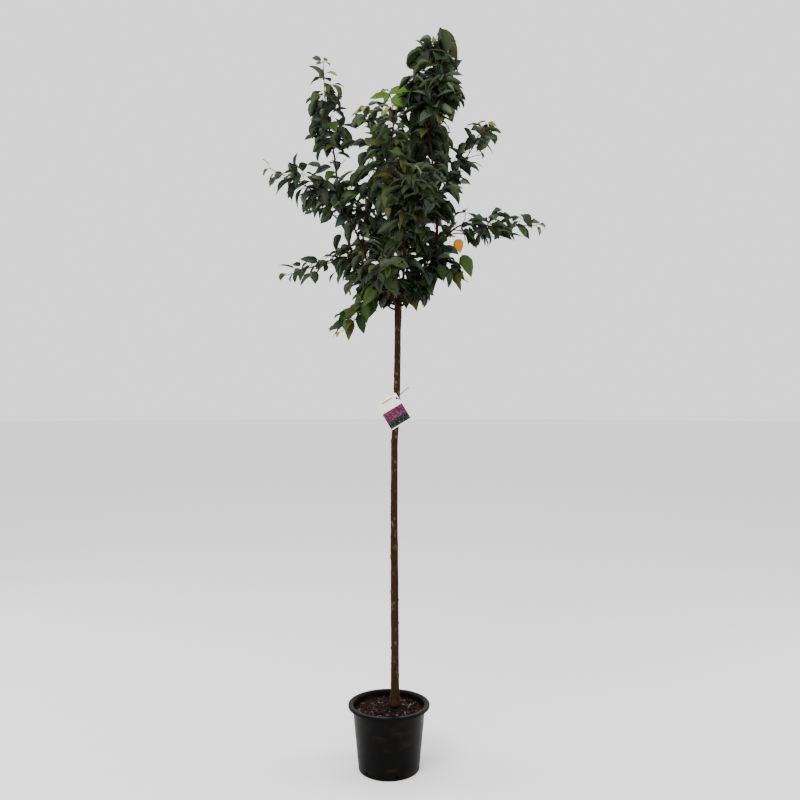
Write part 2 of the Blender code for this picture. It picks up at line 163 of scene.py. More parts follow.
# Pruning scars on the trunk: height, bearing from +X towards +Y, size, and how far they stand out
SCARS = (
    (0.373, -10, 0.0045, 0.0035),
    (0.450, -80, 0.0060, 0.0012),
    (0.486, 190, 0.0050, 0.0045),
    (0.587, -15, 0.0045, 0.0035),
    (0.640, -115, 0.0060, 0.0014),
    (0.680, 5, 0.0045, 0.0040),
    (0.713, 200, 0.0050, 0.0040),
    (0.790, 176, 0.0050, 0.0035),
    (0.854, 195, 0.0055, 0.0045),
    (0.891, -72, 0.0075, 0.0016),
    (0.936, 185, 0.0045, 0.0030),
    (1.045, -95, 0.0055, 0.0012),
    (1.235, -70, 0.0055, 0.0014),
    (1.324, 188, 0.0060, 0.0042),
    (1.539, 215, 0.0080, 0.0022),
    (1.588, 184, 0.0050, 0.0035),
    (1.665, 210, 0.0050, 0.0030),
    (1.721, -100, 0.0060, 0.0014),
    (1.774, 245, 0.0065, 0.0018),
    (0.540, 80, 0.0050, 0.0030),
    (0.830, 60, 0.0055, 0.0020),
    (1.120, 110, 0.0050, 0.0032),
    (1.400, 75, 0.0060, 0.0018),
    (1.640, 100, 0.0050, 0.0028),
)

# Place on the trunk from which the reach of every limb is measured
FORK_X = 0.037

# Limbs, one for each mass: bearing, then reach and height of the mass's inner and outer ends
LIMBS = {
    "left_leader": (174, 0.250, 2.400, 0.322, 2.905),
    "right_leader": (-12, 0.130, 2.500, 0.138, 2.968),
    "middle_leader": (112, 0.050, 2.480, 0.080, 2.785),
    "left_wing": (196, 0.200, 2.235, 0.535, 2.405),
    "right_wing": (-6, 0.210, 2.200, 0.578, 2.175),
    "front_wing": (-82, 0.150, 2.190, 0.500, 2.310),
    "back_wing": (84, 0.150, 2.200, 0.520, 2.280),
    "left_low_wing": (168, 0.150, 2.080, 0.525, 2.010),
    "right_low_wing": (-28, 0.110, 2.050, 0.312, 1.930),
    "front_low_wing": (-104, 0.100, 2.030, 0.370, 1.930),
    "back_low_wing": (126, 0.100, 2.050, 0.410, 1.980),
    "left_hanging": (204, 0.075, 1.950, 0.265, 1.745),
    "back_leader": (58, 0.190, 2.370, 0.270, 2.800),
    "left_spur": (222, 0.120, 2.340, 0.170, 2.655),
    "front_spur": (262, 0.170, 2.330, 0.260, 2.600),
    "right_shoulder": (18, 0.200, 2.370, 0.410, 2.655),
    "upper_core": (80, 0.010, 2.250, 0.030, 2.560),
    "left_core": (188, 0.085, 2.090, 0.195, 2.360),
    "right_core": (2, 0.060, 2.090, 0.190, 2.390),
    "left_skirt": (150, 0.100, 2.030, 0.170, 1.900),
    "right_skirt": (-40, 0.088, 2.000, 0.125, 1.850),
}

# Feet of the boughs that spring from the trunk: bearing, height and radius
BOUGH_FEET = {
    "left_leader": (176, 1.925, 0.0085),
    "right_leader": (-14, 1.932, 0.0090),
    "middle_leader": (100, 1.935, 0.0080),
    "left_wing": (214, 1.895, 0.0065),
    "right_wing": (8, 1.892, 0.0065),
    "front_wing": (-76, 1.915, 0.0065),
    "back_wing": (62, 1.900, 0.0065),
    "left_low_wing": (152, 1.880, 0.0055),
    "right_low_wing": (-42, 1.872, 0.0055),
    "front_low_wing": (-112, 1.872, 0.0050),
    "back_low_wing": (112, 1.878, 0.0050),
    "left_hanging": (190, 1.858, 0.0045),
}

# Limbs that branch off another limb, and how far along it
BRANCH_FEET = {
    "back_leader": ("back_wing", 0.35),
    "left_spur": ("left_wing", 0.30),
    "front_spur": ("front_wing", 0.36),
    "right_shoulder": ("right_leader", 0.36),
    "upper_core": ("middle_leader", 0.30),
    "left_core": ("left_leader", 0.12),
    "right_core": ("right_leader", 0.12),
    "left_skirt": ("left_low_wing", 0.16),
    "right_skirt": ("right_low_wing", 0.20),
}

# How a limb leaves the trunk, how thick it is, and how it waves and ends
BOUGH_SPREAD = 0.34
BOUGH_RISE = 0.10
BOUGH_ROOT = 0.006
BOUGH_SUNK = 0.004
BRANCH_RADIUS = 0.0045
LIMB_END_RADIUS = 0.0013
LIMB_WAVE = 0.014
LIMB_TIP = 0.93

# Knobbly bark of a limb, as shares of its radius: swellings, and a node at every few points
LIMB_SWELLING = 0.10
LIMB_NODE = 0.16
LIMB_NODE_EVERY = 4

# Shoots: step between points, shortest, longest, how near the foliage they start, when they fork
SHOOT_STEP = 0.012
SHORTEST_SHOOT = 0.028
LONGEST_SHOOT = 0.27
CLOTHED_WITHIN = 0.06
FORKING_SHOOT = 0.09
FORKING_CHANCE = 0.35

# Radii of a side shoot: its tip, and its foot when it is short and when it is long
SHOOT_RADII = (0.0009, 0.0016, 0.0026)
STALK_RADII = (0.0009, 0.0007, 0.0007, 0.0004)

# Shares of a limb, back from its tip: without side shoots, with young leaves, with smaller leaves
BARE_TIP = 0.10
YOUNG_TIP = 0.06
TAPERING_TIP = 0.22

# Leaf size in the tufts at the ends of limbs and of side shoots, as a share of the limb's own
LIMB_TUFT = 0.50
SHOOT_TUFT = 0.85

# How a limb is clothed: leaf size, spacing of leaves and of side shoots, and its sprays' tones
DEFAULT_CLOTHING = (1.0, 1.0, 1.0, ("dark", "deep", "mid", "dark", "deep", "olive", "mid"))
CLOTHING = {
    "left_leader": (0.95, 0.85, 1.2, ("dark", "deep", "mid", "dark", "olive")),
    "right_leader": (1.15, 0.9, 1.1, ("dark", "olive", "dark", "grey", "deep")),
    "middle_leader": (1.05, 1.0, 1.1, ("mid", "bright", "dark", "mid", "olive")),
    "left_wing": (0.95, 0.95, 1.0, ("grey", "dark", "grey", "mid", "deep")),
    "right_wing": (0.85, 0.80, 1.0, ("mid", "dark", "mid", "dark", "grey")),
    "left_low_wing": (0.92, 0.85, 1.0, ("mid", "dark", "mid", "olive", "dark")),
    "left_hanging": (0.98, 0.8, 0.9, ("olive", "dark", "mid")),
    "right_shoulder": (1.0, 1.0, 1.2, ("deep", "dark", "grey", "deep", "olive")),
    "right_low_wing": (1.05, 1.0, 1.0, ("dark", "mid", "deep", "olive", "dark")),
    "right_core": (1.0, 1.0, 1.0, ("dark", "mid", "olive", "dark", "deep", "grey")),
    "left_skirt": (1.0, 0.7, 0.5, ("deep", "dark", "mid")),
    "right_skirt": (1.1, 0.7, 0.5, ("deep", "dark", "deep")),
    "left_core": (1.0, 1.0, 1.0, ("dark", "grey", "deep", "mid", "dark")),
}

# Leaves that stand out on the real plant: limb, foot, way it points, length, width share, tone
MARKED_LEAVES = (
    ("left_leader", (-0.262, 0.030, 2.668), (-0.35, -0.10, -0.93), 0.100, 0.74, "deep"),
    ("right_leader", (0.213, -0.020, 2.985), (0.48, -0.10, -0.87), 0.150, 0.36, "olive"),
    ("right_leader", (0.175, -0.050, 2.880), (-0.70, -0.20, -0.68), 0.118, 0.60, "dark"),
    ("right_leader", (0.215, -0.040, 2.750), (0.50, -0.20, -0.84), 0.125, 0.58, "deep"),
    ("middle_leader", (0.000, 0.020, 2.735), (-0.96, -0.20, -0.18), 0.085, 0.40, "bright"),
    ("middle_leader", (0.002, 0.000, 2.735), (0.95, -0.28, 0.10), 0.110, 0.44, "bright"),
    ("middle_leader", (0.010, -0.020, 2.705), (0.88, -0.34, -0.32), 0.118, 0.60, "bright"),
    ("middle_leader", (-0.002, -0.010, 2.730), (-0.35, -0.30, -0.88), 0.050, 0.50, "bright"),
    ("right_low_wing", (0.268, -0.120, 2.118), (0.20, -0.25, -0.94), 0.058, 0.72, "orange"),
    ("right_low_wing", (0.290, -0.100, 2.060), (0.35, -0.25, -0.90), 0.100, 0.56, "mid"),
    ("left_skirt", (-0.002, -0.030, 1.965), (-0.12, -0.20, -0.97), 0.090, 0.40, "straw"),
    ("left_skirt", (0.004, -0.030, 1.960), (-0.02, -0.15, -0.99), 0.100, 0.50, "deep"),
    ("left_skirt", (-0.040, -0.030, 1.990), (-0.10, -0.20, -0.97), 0.105, 0.50, "deep"),
    ("left_skirt", (-0.075, -0.020, 2.000), (-0.20, -0.20, -0.96), 0.110, 0.52, "dark"),
    ("right_skirt", (0.066, -0.045, 1.965), (0.05, -0.20, -0.98), 0.115, 0.50, "deep"),
    ("right_skirt", (0.095, -0.050, 1.965), (0.12, -0.15, -0.98), 0.125, 0.50, "deep"),
    ("right_skirt", (0.125, -0.055, 1.990), (0.10, -0.20, -0.97), 0.125, 0.52, "dark"),
    ("right_skirt", (0.150, -0.050, 2.020), (0.18, -0.20, -0.96), 0.115, 0.52, "deep"),
    ("left_hanging", (-0.165, -0.085, 1.800), (-0.85, -0.15, -0.42), 0.085, 0.46, "dark"),
    ("left_hanging", (-0.150, -0.085, 1.810), (-0.12, -0.20, -0.95), 0.090, 0.50, "olive"),
    ("left_hanging", (-0.120, -0.075, 1.830), (0.28, -0.20, -0.93), 0.085, 0.50, "dark"),
    ("left_hanging", (-0.100, -0.070, 1.880), (0.12, -0.20, -0.97), 0.090, 0.52, "mid"),
    ("left_hanging", (-0.145, -0.080, 1.850), (-0.62, -0.20, -0.60), 0.080, 0.52, "mid"),
)

# The way that the faces of these leaves look
MARKED_FACE = Vector((0.0, -0.95, 0.30))

# Openings seen from the front at the trunk's depth: sideways place, height, half width, half height
SKY = (
    (-0.140, 2.800, 0.050, 0.090),
    (-0.128, 2.490, 0.026, 0.034),
    (0.285, 2.590, 0.020, 0.090),
    (0.440, 2.400, 0.080, 0.050),
    (-0.365, 2.185, 0.100, 0.026),
    (-0.310, 1.905, 0.100, 0.032),
    (0.345, 2.020, 0.024, 0.016),
    (0.250, 2.290, 0.014, 0.020),
    (0.195, 2.350, 0.012, 0.018),
)

# Leaf blade: share of its length, and its half width there as a share of the widest
LEAF_OUTLINE = (
    (0.00, 0.07),
    (0.08, 0.56),
    (0.20, 0.87),
    (0.34, 1.00),
    (0.48, 0.96),
    (0.62, 0.81),
    (0.75, 0.57),
    (0.86, 0.29),
    (0.94, 0.10),
    (1.00, 0.00),
)
LEAF_COLUMNS = (-1.0, -0.5, 0.0, 0.5, 1.0)

# Tones of the upper side, and those whose underside is pale. The grey tone is a painted sheen: light
# reflected off glossy leaf faces, put into a plain base colour.
# The tone of the leaves at the top that light shines through from behind is their glow, painted into
# a plain base colour.
LEAF_TONES = ("deep", "dark", "mid", "olive", "grey", "young", "bright", "orange", "straw")
PALE_TONES = ("grey", "young", "bright", "orange", "straw")

# Relief of a blade: the ripple of its edge, its thickness, and the swelling between its veins
RIPPLE_SEED = 3
LEAF_RIPPLE = 0.0018
LEAF_THICKNESS = 0.0007
LEAF_PILLOW = 0.0016

# How far a leaf may stick out of the foliage, and the room that a shoot leaves for it
OUTSIDE_LIMIT = 0.020
LEAF_REACH = 0.045

# Label card, in the frame's place: centre, turn, and its punched hole
LABEL_WIDTH = 0.091
LABEL_HEIGHT = 0.123
LABEL_THICKNESS = 0.001
LABEL_CARD_SHARE = 0.7
LABEL_X = 0.0192
LABEL_Z = 1.444
LABEL_BACK_Y = -0.0172
LABEL_TURN = -31.0
LABEL_CORNER = 0.004
LABEL_HOLE_RADIUS = 0.0045
LABEL_HOLE_INSET = (0.008, 0.0215)

# Printed bands, as shares of the card's height, and half the length of the stripe
LABEL_EDGE_TOP = 0.035
LABEL_DARK_TOP = 0.26
LABEL_PLUM_TOP = 0.60
LABEL_STRIPE = (0.88, 0.93)
LABEL_STRIPE_HALF = 0.026

# Wire tie: its loop round the trunk, the bulge that passes through the card, and its free end
TIE_LOOP_RADIUS = 0.0158
TIE_BULGE = 0.0085
TIE_BULGE_BEARING = -66.0
TIE_BULGE_WIDTH = 26.0
TIE_START_BEARING = 22.0
TIE_TURN = 350.0
TIE_START_Z = 1.5130
TIE_END_Z = 1.4890
TIE_TAIL = Vector((0.034, -0.004, 0.029))
TIE_STEPS = 90
TAIL_STEPS = 12

# The view of the photograph
CAMERA_PLACE = (0.0446, -3.29, 1.49)
CAMERA_LENS = 36.54

# Soft lights: place, the point each looks at, and size. Then the floor
KEY_LIGHT = ((-1.6, -3.0, 4.6), (0.0, 0.0, 1.8), (2.6, 2.6))
LEFT_LIGHT = ((-4.6, 0.6, 2.6), (0.0, 0.0, 1.4), (2.4, 3.6))
RIGHT_LIGHT = ((4.6, 0.2, 2.6), (0.0, 0.0, 1.4), (2.4, 3.6))
FLOOR_RADIUS = 60.0


def colour_property(name, description, default):
    """A plain colour that the user may change."""
    return FloatVectorProperty(
        name=name, description=description, default=default, subtype="COLOR", min=0.0, max=1.0
    )


def length_property(name, description, default):
    """A length that the user may change."""
    return FloatProperty(name=name, description=description, default=default, unit="LENGTH")


class CherryPotSettings(bpy.types.PropertyGroup):
    """Sizes and colours of the pot and its mix."""

    wall: length_property("Wall", "Pot wall", 0.003)
    rim_round: length_property("Rim rounding", "Radius of the rim's edge", 0.004)
    sides: IntProperty(name="Sides", description="Steps round the pot", default=120)
    plastic: colour_property("Plastic", "Colour of the pot", (0.0018, 0.0016, 0.0015))
    dust: colour_property("Dust", "Colour of the dust on the pot", (0.013, 0.009, 0.006))
    chips: IntProperty(name="Chips", description="Number of bark chips", default=760)
    chip_length: length_property("Chip length", "Longest bark chip", 0.021)
    soil: colour_property("Soil", "Colour of the fine mix", (0.0045, 0.0030, 0.0025))


class CherryBarkSettings(bpy.types.PropertyGroup):
    """Sizes and colours of the bark."""

    lenticels: IntProperty(name="Lenticels", description="Raised breathing pores", default=520)
    lenticel_height: length_property("Lenticel height", "How far they stand out", 0.0005)
    unevenness: length_property("Unevenness", "Depth of the bark's swellings", 0.0009)
    grey_bark: colour_property("Grey bark", "Older bark", (0.026, 0.0130, 0.0060))
    red_bark: colour_property("Red bark", "Younger bark", (0.031, 0.0085, 0.0035))
    pores: colour_property("Pores", "Colour of the lenticels", (0.110, 0.072, 0.044))
    scar: colour_property("Scar", "Colour inside the pruning scars", (0.008, 0.005, 0.004))
    twig: colour_property("Twig", "Bark of the shoots", (0.018, 0.009, 0.005))
    petiole: colour_property("Leaf stalk", "Colour of the leaf stalks", (0.040, 0.030, 0.010))


class CherryCanopySettings(bpy.types.PropertyGroup):
    """Sizes and colours of the crown."""

    seed: IntProperty(name="Seed", description="Chooses another crown of the same kind", default=11)
    leaf_length: length_property("Leaf length", "Usual blade", 0.097)
    leaf_width: FloatProperty(name="Leaf width", description="Share of its length", default=0.55)
    internode: length_property("Leaf spacing", "Along a shoot", 0.018)
    side_spacing: length_property("Side shoot spacing", "Along a limb", 0.017)
    stalk: length_property("Leaf stalk", "Its length", 0.020)
    deep: colour_property("Deep", "Darkest leaves", (0.0065, 0.0105, 0.0045))
    dark: colour_property("Dark", "Dark leaves", (0.0115, 0.0215, 0.0055))
    mid: colour_property("Mid", "Mid green leaves", (0.026, 0.050, 0.007))
    olive: colour_property("Olive", "Olive leaves", (0.037, 0.040, 0.008))
    # Painted sheen: the grey-green that light reflected off glossy leaves shows, as a plain base
    # colour
    grey: colour_property("Grey", "Leaves with a grey sheen", (0.036, 0.050, 0.036))
    young: colour_property("Young", "Yellow-green tip leaves", (0.150, 0.165, 0.024))
    # Painted light: the glow of leaves lit through from behind, put into a plain base colour
    bright: colour_property("Bright", "Bright green leaves", (0.048, 0.102, 0.008))
    orange: colour_property("Orange", "The turned leaf", (0.42, 0.17, 0.012))
    straw: colour_property("Straw", "Yellowish brown leaves", (0.120, 0.085, 0.020))
    under_dark: colour_property("Underside", "Under the dark leaves", (0.026, 0.038, 0.015))
    under_pale: colour_property("Pale underside", "Under the light leaves", (0.075, 0.098, 0.050))


class CherryLabelSettings(bpy.types.PropertyGroup):
    """Sizes and colours of the hanging label and its tie."""

    curl: length_property("Curl", "Bow of the card", 0.004)
    card: colour_property("Card", "White of the card", (0.80, 0.79, 0.76))
    plum: colour_property("Plum", "Printed band", (0.055, 0.006, 0.026))
    pink: colour_property("Pink", "Blots in the printed band", (0.170, 0.040, 0.100))
    shade: colour_property("Shade", "Dark printed band", (0.004, 0.006, 0.005))
    stripe: colour_property("Stripe", "Plain stripe on the card", (0.450, 0.220, 0.030))
    wire: length_property("Wire", "Radius of the tie", 0.0016)
    wire_colour: colour_property("Wire", "Colour of the tie", (0.010, 0.010, 0.008))


class CherryStageSettings(bpy.types.PropertyGroup):
    """Light and floor."""

    floor: colour_property("Floor", "Colour of the floor", (0.86, 0.86, 0.86))
    sky: FloatProperty(name="Surround", description="Strength of the pale surround", default=1.5)
    key: FloatProperty(name="Key light", description="Power in watts", default=210.0)
    fill: FloatProperty(name="Side lights", description="Power in watts", default=120.0)


def mixed(start, end, share):
    """The value this share of the way from start to end."""
    return start + (end - start) * share


def settings():
    """The add-on's settings."""
    return bpy.context.scene.cherry


def deselect():
    """Leaves no object selected."""
    if bpy.context.object and bpy.context.object.mode != "OBJECT":
        bpy.ops.object.mode_set(mode="OBJECT")
    bpy.ops.object.select_all(action="DESELECT")


def select_only(piece):
    """Selects one piece and makes it the active one."""
    deselect()
    piece.select_set(True)
    bpy.context.view_layer.objects.active = piece


def apply_modifiers(piece):
    """Applies every modifier of the piece in order."""
    select_only(piece)
    for modifier in list(piece.modifiers):
        bpy.ops.object.modifier_apply(modifier=modifier.name)


def place_in_frame(piece, nodes=()):
    """Applies the piece's place, and hangs it in the frame in place of the nodes."""
    select_only(piece)
    bpy.ops.object.transform_apply(location=True, rotation=True, scale=True)
    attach(piece, BODY)
    if nodes:
        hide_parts(*nodes)
    deselect()


def smooth(piece, angle):
    """Shades the piece smooth, with creases where faces meet at more than this angle."""
    select_only(piece)
    bpy.ops.object.shade_smooth_by_angle(angle=math.radians(angle))


def linked(name, data):
    """A new object with this data, in the scene."""
    piece = bpy.data.objects.new(name, data)
    bpy.context.scene.collection.objects.link(piece)
    return piece


def unit_cylinder(name, sides):
    """An upright cylinder of unit radius and height that stands on the origin."""
    deselect()
    bpy.ops.mesh.primitive_cylinder_add(
        vertices=sides, radius=1.0, depth=1.0, end_fill_type="NGON", location=(0, 0, 0.5)
    )
    piece = bpy.context.object
    piece.name = name
    bpy.ops.object.transform_apply(location=True, rotation=False, scale=False)
    return piece


def bore(piece, sides, radius, depth, place, turn=(0.0, 0.0, 0.0)):
    """Takes a cylinder out of the piece."""
    bpy.ops.mesh.primitive_cylinder_add(
        vertices=sides, radius=radius, depth=depth, location=place, rotation=turn
    )
    cutter = bpy.context.object
    bored = piece.modifiers.new("bored", "BOOLEAN")
    bored.operation = "DIFFERENCE"
    bored.object = cutter
    apply_modifiers(piece)
    bpy.data.objects.remove(cutter, do_unlink=True)


def finish_edit(threshold):
    """Joins points that lie together, turns the faces outward and leaves edit mode."""
    bpy.ops.mesh.select_all(action="SELECT")
    bpy.ops.mesh.remove_doubles(threshold=threshold)
    bpy.ops.mesh.normals_make_consistent(inside=False)
    bpy.ops.object.mode_set(mode="OBJECT")


def piece_from_arrays(name, points, faces, tones, materials):
    """A joined mesh from arrays of points and faces, with a material number for each face."""
    data = bpy.data.meshes.new(name)
    data.from_pydata([tuple(point) for point in points], [], faces)
    for material in materials:
        data.materials.append(material)
    data.polygons.foreach_set("material_index", np.asarray(tones, np.int32))
    data.shade_smooth()
    data.update()
    return linked(name, data)


def plain_material(name, colour, roughness, gloss):
    """A material with plain values on its shader, made once."""
    found = bpy.data.materials.get(name)
    if found:
        return found
    made = bpy.data.materials.new(name)
    made.use_nodes = True
    inputs = shader_of(made).inputs
    inputs["Base Color"].default_value = (*colour, 1.0)
    inputs["Roughness"].default_value = roughness
    inputs["Specular IOR Level"].default_value = gloss
    return made


def shader_of(material):
    """The material's shader."""
    return material.node_tree.nodes["Principled BSDF"]


def add_node(material, kind, values=None, **settings_of_node):
    """Adds a node to the material and sets its properties and inputs."""
    node = material.node_tree.nodes.new(kind)
    for key, value in settings_of_node.items():
        setattr(node, key, value)
    for key, value in (values or {}).items():
        node.inputs[key].default_value = value
    return node


def link(material, source, output, target, socket):
    """Joins two sockets of the material's nodes."""
    material.node_tree.links.new(source.outputs[output], target.inputs[socket])


def add_noise(material, scale, detail, stretch=(1.0, 1.0, 1.0)):
    """A noise on the object's own coordinates, stretched if wanted."""
    place = add_node(material, "ShaderNodeTexCoord")
    mapping = add_node(material, "ShaderNodeMapping", {"Scale": stretch})
    pattern = add_node(material, "ShaderNodeTexNoise", {"Scale": scale, "Detail": detail})
    link(material, place, "Object", mapping, "Vector")
    link(material, mapping, "Vector", pattern, "Vector")
    return pattern


def blended(material, pattern, first, second, low, high):
    """A colour that goes from first to second as the pattern goes from low to high."""
    ramp = add_node(material, "ShaderNodeValToRGB")
    ramp.color_ramp.elements[0].position = low
    ramp.color_ramp.elements[0].color = (*first, 1.0)
    ramp.color_ramp.elements[1].position = high
    ramp.color_ramp.elements[1].color = (*second, 1.0)
    link(material, pattern, "Fac", ramp, "Fac")
    return ramp


def colour_over(material, pattern, first, second, low, high):
    """Colours the material by the pattern."""
    colour = blended(material, pattern, first, second, low, high)
    link(material, colour, "Color", shader_of(material), "Base Color")


def add_bump(material, pattern, strength, distance):
    """Fine relief from a pattern, on the material's shader."""
    bump = add_node(material, "ShaderNodeBump", {"Strength": strength, "Distance": distance})
    link(material, pattern, "Fac", bump, "Height")
    link(material, bump, "Normal", shader_of(material), "Normal")


def pot_plastic(colours):
    """Black moulded plastic with a fine grain, scuffs and a little dust."""
    made = plain_material("black_plastic", colours.plastic, 0.50, 0.04)
    dust = add_noise(made, 14.0, 6.0, (1.0, 1.0, 2.5))
    colour_over(made, dust, colours.plastic, colours.dust, 0.52, 0.86)
    rough = add_node(made, "ShaderNodeMapRange", {"To Min": 0.28, "To Max": 0.50})
    link(made, dust, "Fac", rough, "Value")
    link(made, rough, "Result", shader_of(made), "Roughness")
    add_bump(made, add_noise(made, 900.0, 2.0), 0.25, 0.0003)
    return made


def fine_mix(colours):
    """Dark fibrous potting mix."""
    made = plain_material("fine_mix", colours.soil, 0.95, 0.05)
    grains = add_noise(made, 160.0, 8.0)
    pale = tuple(channel * 3.2 for channel in colours.soil)
    colour_over(made, grains, colours.soil, pale, 0.45, 0.80)
    add_bump(made, grains, 0.9, 0.002)
    return made


def bark_material(name, colours, with_marks):
    """Cherry bark, grey-brown and red, with painted shade in the grooves of its fibres and painted
    light on their ridges. With marks, pale pores and dark scars where the relief is.
    """
    made = plain_material(name, colours.grey_bark, 0.60, 0.04)
    patches = add_noise(made, 9.0, 5.0, (1.0, 1.0, 0.30))
    colour = blended(made, patches, colours.grey_bark, colours.red_bark, 0.38, 0.66)
    fibres = add_noise(made, 260.0, 5.0, (1.0, 1.0, 0.16))
    # Painted shade and light: the pattern that raises the fibres' bump darkens the colour in their
    # grooves and lightens it on their ridges
    shadow = blended(made, fibres, (0.45, 0.45, 0.45), (1.15, 1.15, 1.15), 0.30, 0.70)
    # A colour mix takes its colours at sockets 6 and 7 and gives its result at socket 2
    fibre_shaded = add_node(made, "ShaderNodeMix", {"Factor": 1.0}, data_type="RGBA", blend_type="MULTIPLY")
    link(made, colour, "Color", fibre_shaded, 6)
    link(made, shadow, "Color", fibre_shaded, 7)
    last = fibre_shaded
    marks = (("pore", colours.pores), ("scar", colours.scar)) if with_marks else ()
    for attribute, tint in marks:
        read = add_node(made, "ShaderNodeAttribute", attribute_name=attribute)
        mix = add_node(made, "ShaderNodeMix", {7: (*tint, 1.0)}, data_type="RGBA")
        link(made, read, "Fac", mix, "Factor")
        link(made, last, 2, mix, 6)
        last = mix
    link(made, last, 2, shader_of(made), "Base Color")
    add_bump(made, fibres, 0.55, 0.0008)
    return made


def twig_bark(colours):
    """Dark red-brown bark of the shoots."""
    made = plain_material("shoot_bark", colours.twig, 0.55, 0.15)
    patches = add_noise(made, 40.0, 4.0)
    red = tuple(channel * 1.7 for channel in colours.twig)
    colour_over(made, patches, colours.twig, red, 0.40, 0.65)
    add_bump(made, add_noise(made, 500.0, 3.0), 0.4, 0.0004)
    return made


def arc(centre, radius, start, end, steps):
    """Points on an arc in the section plane, angles in degrees."""
    angles = [math.radians(mixed(start, end, step / steps)) for step in range(steps + 1)]
    return [
        (centre[0] + radius * math.cos(turn), centre[1] + radius * math.sin(turn))
        for turn in angles
    ]


def pot_section(wall, rim_round):
    """Half of the pot's section, from the inside of the floor round the rim to the underside."""
    throat = POT_SHOULDER_RADIUS - wall + POT_THROAT_SET
    foot_inside = POT_FOOT_RADIUS - wall
    edge = POT_RIM_RADIUS - rim_round
    foot_centre = foot_inside - POT_FOOT_ROUND
    section = [(0.0, POT_FLOOR)]
    section += arc((foot_centre, POT_FLOOR + POT_FOOT_ROUND), POT_FOOT_ROUND, -90, 0, 5)
    section += arc((throat, POT_TOP - POT_THROAT_ROUND), POT_THROAT_ROUND, 175, 105, 5)
    section += arc((edge, POT_TOP - rim_round), rim_round, 90, 0, 6)
    lip = POT_TOP - POT_LIP_DEPTH
    under = POT_TOP - wall
    rim_inside = POT_RIM_RADIUS - wall
    section += [(POT_RIM_RADIUS, lip + POT_LIP_ROUND)]
    section += [(POT_RIM_RADIUS - POT_LIP_ROUND, lip)]
    section += [(rim_inside + POT_LIP_ROUND, lip)]
    section += [(rim_inside, lip + POT_LIP_ROUND)]
    bend = POT_RIM_UNDER_ROUND
    section += arc((rim_inside - bend, under - bend), bend, 0, 90, 4)
    neck = POT_NECK_ROUND
    section += arc((POT_SHOULDER_RADIUS + neck, under - neck), neck, 90, 180, 4)
    section += [(POT_SHOULDER_RADIUS - deep, POT_TOP - down) for deep, down in POT_GROOVE]
    section += arc((POT_FOOT_RADIUS - POT_FOOT_ROUND, POT_FOOT_ROUND), POT_FOOT_ROUND, 0, -90, 6)
    section += [(0.0, 0.0)]
    return section


def spun_piece(name, section, steps):
    """A turned solid: a ring of points is opened, laid along the section and spun."""
    deselect()
    bpy.ops.mesh.primitive_circle_add(vertices=len(section), radius=1.0, fill_type="NOTHING")
    piece = bpy.context.object
    piece.name = name
    for vert, (radius, height) in zip(piece.data.vertices, section):
        vert.co = (radius, 0.0, height)
        vert.select = False
    last = len(section) - 1
    for edge in piece.data.edges:
        edge.select = set(edge.vertices) == {0, last}
    bpy.ops.object.mode_set(mode="EDIT")
    bpy.ops.mesh.select_mode(type="EDGE")
    bpy.ops.mesh.delete(type="EDGE")
    bpy.ops.mesh.select_all(action="SELECT")
    bpy.ops.mesh.spin(steps=steps, angle=math.tau, center=(0, 0, 0), axis=(0, 0, 1))
    finish_edit(1e-5)
    return piece


class CHERRY_OT_pot(bpy.types.Operator):
    """Turns the nursery pot and bores its drain holes"""

    bl_idname = "cherry.pot"
    bl_label = "Pot"

    def execute(self, context):
        wanted = settings().pot
        pot = spun_piece("nursery_pot", pot_section(wanted.wall, wanted.rim_round), wanted.sides)
        for number in range(DRAIN_HOLES):
            bearing = math.radians(DRAIN_FIRST_BEARING + 360.0 * number / DRAIN_HOLES)
            x, y = POT_FOOT_RADIUS * math.cos(bearing), POT_FOOT_RADIUS * math.sin(bearing)
            place, turn = (x, y, DRAIN_HOLE_HEIGHT), (0.0, math.pi / 2, bearing)
            bore(pot, 24, DRAIN_HOLE_RADIUS, 4 * wanted.wall, place, turn)
        pot.data.materials.clear()
        pot.data.materials.append(pot_plastic(wanted))
        smooth(pot, 35.0)
        place_in_frame(pot, ["pot"])
        return {"FINISHED"}


def mix_height(x, y):
    """The height of the potting mix at a place, mounded to the trunk and lumpy."""
    wide = POT_SHOULDER_RADIUS - MIX_EDGE
    off_mound = min(1.0, math.hypot(x - MIX_MOUND_X, y) / wide)
    level = mixed(MIX_MOUND_LEVEL, MIX_LEVEL, off_mound**0.8)
    lump = Vector((x, y)) - MIX_LUMP_PLACE
    level += MIX_LUMP_HEIGHT * math.exp(-((lump.length / MIX_LUMP_SIZE) ** 2))
    near_trunk = math.exp(-((math.hypot(x - MIX_MOUND_X, y) / STEM_CLEARANCE) ** 2))
    rough = noise.fractal(Vector((x, y, 0.0)) * 42.0, 0.8, 2.1, 4)
    return level + MIX_ROUGHNESS * rough * (1.0 - near_trunk)


